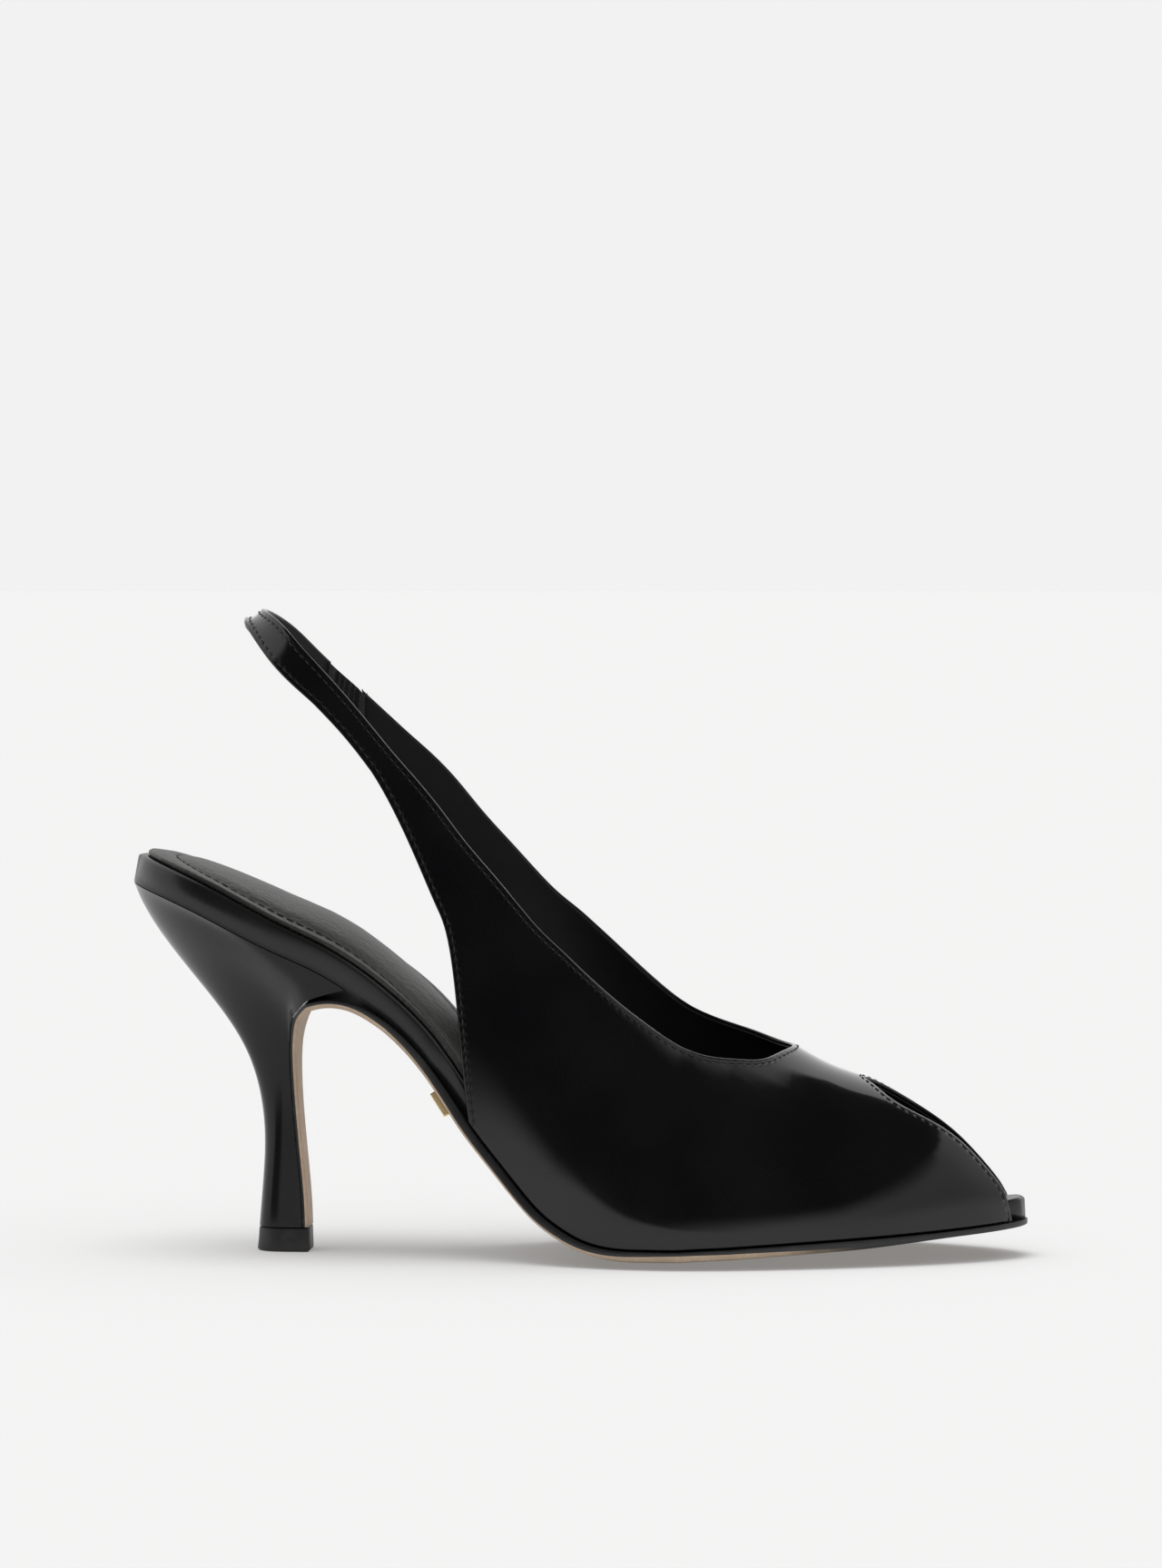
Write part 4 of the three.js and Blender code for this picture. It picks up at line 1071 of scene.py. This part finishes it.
def heel_ring(i):
    """Ring of the heel from the outer front corner round the back to the inner front corner."""
    share = heel_shares(22, 14)

    def side_points(side):
        seat_x = mix(seat_back, seat_front, share)
        along = x_to_along(seat_x)
        tip_x = mix(tip_back, tip_front, share)
        x = mix(tip_x, seat_x, mix(heel_row["back"][i], heel_row["front"][i], share))
        seat_half = np.maximum(0, half_width(side, along) - SEAT_INSET)
        tip_half = tip_half_width(share) - TIP_FLARE
        y = side * np.maximum(0, mix(tip_half, seat_half, heel_row["width"][i]))
        rise = mix(heel_row["back_rise"][i], heel_row["front_rise"][i], share)
        seat_z = bottom_line(along) + cross_lift(along, np.where(share == 0, 0, side)) - GAP
        y = np.where(share == 0, 0, y)
        return np.stack([x, y, mix(TIP_HEIGHT + GAP, seat_z, rise)], -1)

    return np.concatenate([side_points(OUTER)[::-1], side_points(INNER)[1:]])


heel_rings = np.array([heel_ring(i) for i in range(len(HEEL_STEPS))])
heel = make_piece(
    "heel_cover", heel_rings.reshape(-1, 3), loft_faces(*heel_rings.shape[:2]),
    [glossy_leather("heel_covering", 0.24, 0.42, seams=False)], replaces=["heel"],
)
heel.data.set_sharp_from_angle(angle=math.radians(40))

# Outsole. Thin sole leather from the toe to the waist, carried on down the heel breast as a
# flap. Its edge is dyed black, and below the edge a bevel leads to the natural, beige bottom,
# which is buffed and a little marked.
SOLE_BEVEL = 1.4
SOLE_ACROSS = np.linspace(-1, 1, 21)
SOLE_TAPER = 0.36

# Bevel between the black edge and the bottom: its height along the sole and the share of black
# dye drawn over it
BEVEL = table(
    "along height dye",
    (0.25, 1.4, 0), (0.3, 1, 0), (0.35, 0.7, 0), (0.45, 0.55, 0), (0.5, 0.7, 0), (0.56, 1.15, 0),
    (0.62, 1.5, 0), (0.7, 1.25, 0.1), (0.78, 0.9, 0.6), (0.86, 0.6, 1), (1, 0.5, 1),
)


def bevel_value(column, angle):
    return float(np.interp((1 - math.cos(angle)) / 2, BEVEL["along"], BEVEL[column]))


def sole_loop(height):
    """Section of the sole: black edge, bevel of a height, and bottom."""
    edge_up = -GAP - (SOLE_THICKNESS - height)
    top = [(share, -GAP, -SOLE_EDGE) for share in SOLE_ACROSS]
    side = [(1, -GAP - 0.12, -SOLE_EDGE - 0.08), (1, edge_up + 0.25, -SOLE_EDGE - 0.08),
            (1, edge_up, -SOLE_EDGE + 0.06)]
    bevel = [(1, mix(edge_up, -GAP - SOLE_THICKNESS, s) + 0.12 * math.sin(s * math.pi) * -1,
              mix(-SOLE_EDGE + 0.06, SOLE_BEVEL - SOLE_EDGE, s)) for s in (0.25, 0.5, 0.75)]
    low = -GAP - SOLE_THICKNESS
    bottom = [(share, low, SOLE_BEVEL - SOLE_EDGE) for share in SOLE_ACROSS[::-1]]
    mirrored = [(-1, up, inset) for _, up, inset in [*side, *bevel][::-1]]
    return [*top, *side, *bevel, *bottom, *mirrored]


def sole_section(angle):
    """The sole's section at an angle from the back, thinner towards the toe."""
    rest = 1 - SOLE_TAPER * float(smooth((1 - math.cos(angle)) / 2, 0.8, 0.94))
    section_loop = sole_loop(bevel_value("height", angle))
    return [(across, (up + GAP) * rest - GAP, inset) for across, up, inset in section_loop]


def flap_rings(loop):
    """Rings of the flap down the heel breast, from below the seat to the tip."""
    corners = [(ring[0], ring[-1]) for ring in heel_rings[::-1]]
    middle = [(outer + inner) / 2 for outer, inner in corners]
    rings = []
    for here in range(4, len(corners), 2):
        below = middle[min(here + 1, len(middle) - 1)]
        path = middle[here - 1] - below
        to_heel = np.array([-path[2], 0, path[0]]) / np.linalg.norm(path)
        share = min(1, here / 45)
        depth = mix(SOLE_THICKNESS, FLAP_THICKNESS, share)
        ring = []
        for across, up, inset in loop:
            narrow = inset * 0.5 if inset > 0 else inset * (1 - share)
            place = mix(*corners[here], (across + 1) / 2) - [0, across * narrow, 0]
            ring.append(place + to_heel * ((up + GAP) / SOLE_THICKNESS * depth - GAP))
        rings.append(ring)
    return rings[::-1]


@finish
def sole_finish(wire):
    """Natural sole leather, buffed, with fine pores, rubbed marks and black dye at the toe."""
    place = wire.place()
    fibres = wire.noise(place, 900.0, 4.0, 0.65)
    marks = wire.noise(place, 60.0, 5.0, 0.7)
    tone = wire.blend(marks.step(0.3, 0.75), (0.50, 0.385, 0.28), (0.38, 0.28, 0.195))
    tone = wire.blend(fibres.step(0.3, 0.7) * 0.25, tone, (0.25, 0.17, 0.11))
    dyed = (wire.uv("dye").axis(0) + marks * 0.3 - 0.15).step(0.1, 0.9)
    return {
        "Base Color": wire.blend(dyed, tone, (0.01, 0.01, 0.01)),
        "Roughness": 0.5 + marks * 0.2,
        "Normal": wire.bump(fibres, 0.00006, 0.5),
    }


@finish
def edge_finish(wire):
    """Black edge ink over cut sole leather: satin, with faint lines along the cut."""
    place = wire.place()
    lines = wire.bands(place, "Z", 500.0, 2.0)
    worn = wire.noise(place, 140.0, 4.0)
    return {
        "Base Color": wire.blend(worn.step(0.5, 0.9), (0.008, 0.008, 0.009), (0.02, 0.019, 0.018)),
        "Roughness": 0.36 + worn * 0.12,
        "Normal": wire.bump(lines, 0.00005, 0.3),
    }


loop = sole_loop(SOLE_BEVEL)
sole_angles = np.linspace(float(round_key(WAIST_END + 0.006)), math.pi - END_ANGLE, 150)
flap = flap_rings(loop)
sole_rings = np.array([*flap, *(bottom_ring(a, sole_section(a)) for a in sole_angles)])
sole_rings = eased(sole_rings, len(flap), 7, 25)
sole_faces = loft_faces(*sole_rings.shape[:2])
EDGE_ROW = len(SOLE_ACROSS) + 2
SIDE_ROWS = len(loop) - 3
BEVEL_ROWS = 4


def sole_part(face):
    """0 for the beige bottom and bevel, 1 for the inked edge and the hidden top."""
    row = min(k % len(loop) for k in face) if len(face) == 4 else 0
    inked = row < EDGE_ROW or row >= SIDE_ROWS
    return 1 if inked else 0


def dye_share(k):
    """Black dye at a point of the sole: only its bevel takes some, towards the toe."""
    ring, row = divmod(k, len(loop))
    on_bevel = EDGE_ROW <= row <= EDGE_ROW + BEVEL_ROWS or 0 <= SIDE_ROWS - row <= BEVEL_ROWS
    if ring < len(flap) or not on_bevel:
        return 0
    return bevel_value("dye", sole_angles[ring - len(flap)])


sole = make_piece(
    "leather_sole", sole_rings.reshape(-1, 3), sole_faces,
    [sole_finish("sole_leather"), edge_finish("edge_ink")],
    which=[sole_part(face) for face in sole_faces], replaces=["outsole"],
)
dye_layer = sole.data.uv_layers.new(name="dye")
for corner, spot in zip(sole.data.loops, dye_layer.data):
    spot.uv = (dye_share(corner.vertex_index), 0)

# Top piece. A hard black rubber lift, pinned under the heel and ground flush with its cover,
# flaring a little towards the floor. It wears first, so its lower rim is slightly dull.


def tip_ring(height, grow):
    share = heel_shares(18, 10)
    x = mix(-TIP_LENGTH / 2 - grow, TIP_LENGTH / 2 + min(0, grow) * 0.3, share)
    half = tip_half_width(share) + grow
    ring = np.stack([x, half, np.full_like(x, height)], -1)
    ring[0, 1] = 0
    return np.concatenate([(ring * [1, -1, 1])[::-1], ring[1:]])


@finish
def rubber_finish(wire):
    """Hard black rubber with dull scuffs."""
    place = wire.place()
    speck = wire.noise(place, 1200.0, 3.0)
    scuff = wire.noise(place, 220.0, 4.0, 0.7)
    return {
        "Base Color": wire.blend(scuff.step(0.45, 0.8), (0.010, 0.010, 0.010), (0.022, 0.022, 0.022)),
        "Roughness": 0.42 + scuff * 0.22,
        "Normal": wire.bump(speck, 0.00005, 0.5),
    }


TIP_HEIGHTS = (0, 0.12, 0.5, 2.5, TIP_HEIGHT - 0.3, TIP_HEIGHT - 0.08, TIP_HEIGHT)
TIP_GROWTHS = (-TIP_FLARE, -0.2, 0, -0.2, -TIP_FLARE, -TIP_FLARE - 0.06, -TIP_FLARE - 0.2)
tip_rings = np.array([tip_ring(h, g) for h, g in zip(TIP_HEIGHTS, TIP_GROWTHS)])
make_piece(
    "rubber_lift", tip_rings.reshape(-1, 3), loft_faces(*tip_rings.shape[:2]),
    [rubber_finish("tip_rubber")], replaces=["top_piece"],
)

# Sock. Soft olive-grey leather over thin foam, glued to the board. A stitched line a few
# millimetres inside its edge runs round the seat and waist, with the foam standing a little
# proud inside it, and the skin wrinkles finely along the slope.
SOCK_THICKNESS = 0.9
SOCK_CROWN = 4.2
SOCK_INSET = 1.5
SOCK_DRAWBACK = 3
SEAM_FROM_BACK = 6.2
SEAM_FROM_SIDE = 3.2
SOCK_FRONT = 0.56
SEAM_BOW = 0.22
CHANNEL_DEPTH = 0.45
CHANNEL_WIDTH = 0.75
FOAM_LIFT = 0.3


def sock_inset(angle):
    return board_inset(angle) + SOCK_INSET + SOCK_DRAWBACK * layer_share("toe", angle)


def sock_section(angle):
    low = board_thickness(angle) + GAP
    return layer_loop(
        low, low + SOCK_THICKNESS, SOCK_THICKNESS / 2, sock_inset(angle),
        np.linspace(-1, 1, 41), SOCK_CROWN * layer_share("crown", angle),
    )


def sock_point(angle, across, inset):
    up = board_thickness(angle) + GAP + SOCK_THICKNESS
    return bottom_ring(angle, [(across, up, inset + sock_inset(angle))])[0]


def seam_inset(angle):
    return float(mix(SEAM_FROM_BACK, SEAM_FROM_SIDE, smooth(angle, 0.1, 0.9)))


def sock_seam():
    """Closed stitch line: round the seat, along the waist, and round again under the instep."""
    turn_angle = float(round_key(SOCK_FRONT))
    side = [sock_point(a, 1, seam_inset(a)) for a in np.linspace(0.02, turn_angle, 90)]
    far = [sock_point(a, -1, seam_inset(a)) for a in np.linspace(turn_angle, 0.02, 90)]
    front = [
        sock_point(turn_angle + SEAM_BOW * math.sin(t), math.cos(t), SEAM_FROM_SIDE)
        for t in np.linspace(0, math.pi, 30)[1:-1]
    ]
    return np.array([*side, *front, *far, side[0]])


def dropped(tree, points, lift):
    """The points moved straight down onto the top of a surface and lifted off it."""
    above, down = Vector((0, 0, 20)), Vector((0, 0, -1))
    spots = [tree.ray_cast(Vector(p) + above, down)[0] for p in points]
    return np.array([(spot.x, spot.y, spot.z + lift) for spot in spots])


sock_rings = np.array([bottom_ring(a, sock_section(a)) for a in bottom_angles(190)])
sock_points = sock_rings.reshape(-1, 3)
sock_faces = loft_faces(*sock_rings.shape[:2])
plain_sock = BVHTree.FromPolygons([Vector(p) for p in sock_points], sock_faces)
sock_line = dropped(plain_sock, even_line(sock_seam(), 0.5), 0)
sock_tree = tree_of(sock_line)
sock_normals = normals_of(sock_points, sock_faces)


def pad_lift(point, normal):
    """Height added to the sock's top: a sewn channel, and foam standing proud beside it."""
    if normal[2] < 0.3:
        return 0
    _, _, distance = sock_tree.find(Vector(point))
    channel = -CHANNEL_DEPTH * math.exp(-((distance / CHANNEL_WIDTH) ** 2))
    return channel + FOAM_LIFT * float(smooth(distance, 0.8, 4.0))


if sock_normals[len(sock_rings[0]) * 95 + 60][2] < 0:
    sock_normals = -sock_normals
lifts = np.array([pad_lift(p, n) for p, n in zip(sock_points, sock_normals)])
sock_points = sock_points + sock_normals * lifts[:, None]
sock_leather = leather_finish(
    "sock_leather", (0.017, 0.018, 0.015), (0.028, 0.029, 0.025), 0.42, 0.8, 0.08, 0.5, wrinkle=0.35
)
sock = make_piece(
    "foam_sock", sock_points, sock_faces, [sock_leather], replaces=["sock"]
)
sock_surface = BVHTree.FromPolygons([Vector(p) for p in sock_points], sock_faces)
stitch_rows(
    "sock_stitching", [dropped(sock_surface, sock_line, 0.06)],
    thread_finish("sock_thread", (0.006, 0.006, 0.006)), 2.6, 2.1, 0.45,
)

# Sole plate. A small plain bar of gold-coloured metal, pinned flat under the outer half of the
# waist, with its edges broken and a brushed face.


@finish
def gold_finish(wire):
    """Gold-coloured metal with a brushed face."""
    brushed = wire.noise(wire.place(), 700.0, 4.0, 0.7)
    return {
        "Base Color": wire.blend(brushed, (0.95, 0.73, 0.40), (0.80, 0.58, 0.29)),
        "Metallic": 1.0,
        "Roughness": 0.22 + brushed * 0.15,
        "Normal": wire.bump(brushed, 0.00002, 0.3),
    }


plate_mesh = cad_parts["sole_plate"].data.copy()
plate_mesh.name = "gold_bar"
plate_work = bmesh.new()
plate_work.from_mesh(plate_mesh)
bmesh.ops.remove_doubles(plate_work, verts=plate_work.verts, dist=0.00001)
bmesh.ops.dissolve_limit(
    plate_work, angle_limit=0.1, verts=plate_work.verts, edges=plate_work.edges
)
bmesh.ops.bevel(
    plate_work, geom=plate_work.edges[:], offset=0.25 * MM, segments=3, affect="EDGES", profile=0.5
)
plate_work.to_mesh(plate_mesh)
plate_work.free()
plate_mesh.materials.clear()
plate_mesh.materials.append(gold_finish("gold_metal"))
plate = add_object("gold_bar", plate_mesh)
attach(plate, "root")
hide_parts("sole_plate")

# Studio. A pale floor that runs to the horizon under an even pale surround, two soft lights
# overhead that throw the shadow and reach only the floor, and a dark canopy over the viewer's
# side that only the gloss of the leather picks up.
BACKGROUND = (0.888, 0.888, 0.888)
ZENITH = (1.08, 1.08, 1.08)
FLOOR_REACH = 60


@finish
def floor_finish(_wire):
    """Matt pale paper with some light of its own, which keeps the shadow pale."""
    return {
        "Base Color": (0.1, 0.1, 0.1, 1), "Roughness": 1.0, "Specular IOR Level": 0.0,
        "Emission Color": (0.238, 0.23, 0.222, 1), "Emission Strength": 1.0,
    }


floor_mesh = bpy.data.meshes.new("floor")
floor_corners = [
    (x * FLOOR_REACH, y * FLOOR_REACH, 0) for x, y in ((-1, -1), (1, -1), (1, 1), (-1, 1))
]
floor_mesh.from_pydata(floor_corners, [], [(0, 1, 2, 3)])
floor_mesh.materials.append(floor_finish("pale_floor"))
floor = add_object("floor", floor_mesh)

# Width in degrees and strength of the two overhead lights that fall on the floor alone
OVERHEAD_LIGHTS = {"narrow_light": (40, 9.5), "wide_light": (100, 8.6)}
OVERHEAD_TURN = (math.radians(4), math.radians(-6), 0)
OVERHEAD_COLOUR = (0.977, 0.989, 1.0)
lit_floor = bpy.data.collections.new("lit_floor")
lit_floor.objects.link(floor)
for light_name, (spread, strength) in OVERHEAD_LIGHTS.items():
    light_data = bpy.data.lights.new(light_name, "SUN")
    light_data.energy = strength
    light_data.angle = math.radians(spread)
    light_data.color = OVERHEAD_COLOUR
    light = add_object(light_name, light_data)
    light.rotation_euler = OVERHEAD_TURN
    light.light_linking.receiver_collection = lit_floor

world = bpy.data.worlds.new("studio")
world.use_nodes = True
world.node_tree.nodes.clear()
sky = Wire(world.node_tree)
height = sky.node("ShaderNodeTexCoord", output="Generated").axis(2)
shade = sky.blend(height.step(0.12, 0.6), BACKGROUND, ZENITH)
background = sky.node("ShaderNodeBackground", {"Color": shade, "Strength": 1.0})
sky.node("ShaderNodeOutputWorld", {"Surface": background})
bpy.context.scene.world = world

# Lower rim of the dark canopy by direction: its height above the horizon and the width of its
# soft edge, in degrees, and how far a grey veil dims what shows between horizon and rim
CANOPY = table(
    "azimuth rim soft veil",
    (-152, -8, 5, 0), (-142, -9, 5, 0), (-130, -10, 6, 0), (-120, -8.5, 6, 0), (-105, -6, 8, 0),
    (-90, -2, 11, 0), (-75, 2, 12, 0), (-60, 8.5, 12, 0), (-52, 13, 14, 0.1), (-45, 22, 18, 0.35),
    (-37, 35, 16, 0.4), (-30, 42, 12, 0.4), (-20, 49.5, 5, 0.36), (-12, 52, 4, 0.3),
    (0, 54.5, 3, 0.25), (22, 55, 3, 0.3), (32, 53, 3, 0.3), (40, 50.5, 3, 0.15), (49, 48, 3, 0),
    (61, 48, 4, 0), (66, 58, 5, 0), (78, 70, 9, 0), (95, 80, 10, 0),
)
CANOPY_CENTRE = np.array([0.07, 0, 0.045])
CANOPY_RADIUS = 4.0
CANOPY_TOP = 89.0
CANOPY_START, CANOPY_END, CANOPY_STEP = -160.0, 96.0, 2.0
VEIL_FADE = (1, 9)
canopy_azimuths = np.arange(CANOPY_START, CANOPY_END, CANOPY_STEP)
VEIL_STEPS = np.linspace(0, 1, 7)[:-1]
EDGE_STEPS = np.linspace(-0.5, 0.5, 9)
OPEN_STEPS = np.linspace(0, 1, 7)[1:]
canopy_points, canopy_shares = [], []
for azimuth in canopy_azimuths:
    rim, soft, veil = (
        np.interp(azimuth, CANOPY["azimuth"], CANOPY[name]) for name in ("rim", "soft", "veil")
    )
    low = rim - soft / 2
    rows = np.concatenate([
        mix(min(1, low - 3), low, VEIL_STEPS), rim + soft * EDGE_STEPS,
        mix(rim + soft / 2, CANOPY_TOP, OPEN_STEPS),
    ])
    for elevation in rows:
        turn, tilt = math.radians(azimuth), math.radians(elevation)
        way = np.array([
            math.cos(turn) * math.cos(tilt), math.sin(turn) * math.cos(tilt), math.sin(tilt),
        ])
        reach = min(CANOPY_RADIUS, (CANOPY_CENTRE[2] - 0.002) / max(1e-6, -way[2]))
        canopy_points.append(CANOPY_CENTRE + way * reach)
        edge = smooth(elevation, low, rim + soft / 2)
        dimmed = veil * smooth(elevation, *VEIL_FADE)
        fade = smooth(azimuth, CANOPY_START, CANOPY["azimuth"][0])
        canopy_shares.append(float(mix(dimmed, 1, edge) * fade))
canopy_rows = len(VEIL_STEPS) + len(EDGE_STEPS) + len(OPEN_STEPS)
canopy_mesh = bpy.data.meshes.new("dark_canopy")
canopy_mesh.from_pydata(canopy_points, [], [
    (k, k + 1, k + canopy_rows + 1, k + canopy_rows)
    for i in range(len(canopy_azimuths) - 1)
    for k in range(i * canopy_rows, (i + 1) * canopy_rows - 1)
])
share_layer = canopy_mesh.uv_layers.new(name="share")
for loop_item, corner in zip(canopy_mesh.loops, share_layer.data):
    corner.uv = (canopy_shares[loop_item.vertex_index], 0)
canopy_material, canopy_wire = start_finish("dark_canopy")
share = canopy_wire.uv("share").axis(0)
clear = canopy_wire.node("ShaderNodeBsdfTransparent")
dark = canopy_wire.node("ShaderNodeBsdfDiffuse", {"Color": (0.002, 0.002, 0.002, 1)})
mixed = canopy_wire.node("ShaderNodeMixShader", {0: share, 1: clear, 2: dark})
canopy_wire.node("ShaderNodeOutputMaterial", {"Surface": mixed})
canopy_mesh.materials.append(canopy_material)
canopy = add_object("dark_canopy", canopy_mesh)
canopy.visible_camera = canopy.visible_diffuse = canopy.visible_shadow = False
canopy.visible_transmission = False

# Camera. It looks at the outer side of the shoe from a little ahead of square and a little above.
CAMERA_TARGET = Vector((72.66, 0, 113.92)) * MM
CAMERA_AZIMUTH, CAMERA_ELEVATION = math.radians(4.5), math.radians(2.0)
CAMERA_DISTANCE = 1450 * MM
PIXELS_PER_MM = 4.54
IMAGE_HEIGHT = 1727
SENSOR_SIZE = 36
camera_data = bpy.data.cameras.new("camera")
camera_data.sensor_width = SENSOR_SIZE
camera_data.lens = SENSOR_SIZE * PIXELS_PER_MM * CAMERA_DISTANCE / MM / IMAGE_HEIGHT
camera_data.clip_end = 200
camera = add_object("camera", camera_data)
back = Vector((
    math.sin(CAMERA_AZIMUTH) * math.cos(CAMERA_ELEVATION),
    -math.cos(CAMERA_AZIMUTH) * math.cos(CAMERA_ELEVATION),
    math.sin(CAMERA_ELEVATION),
))
camera.location = CAMERA_TARGET + back * CAMERA_DISTANCE
camera.rotation_mode = "QUATERNION"
camera.rotation_quaternion = (-back).to_track_quat("-Z", "Y")
bpy.context.scene.camera = camera
bpy.context.scene.view_settings.view_transform = "Standard"
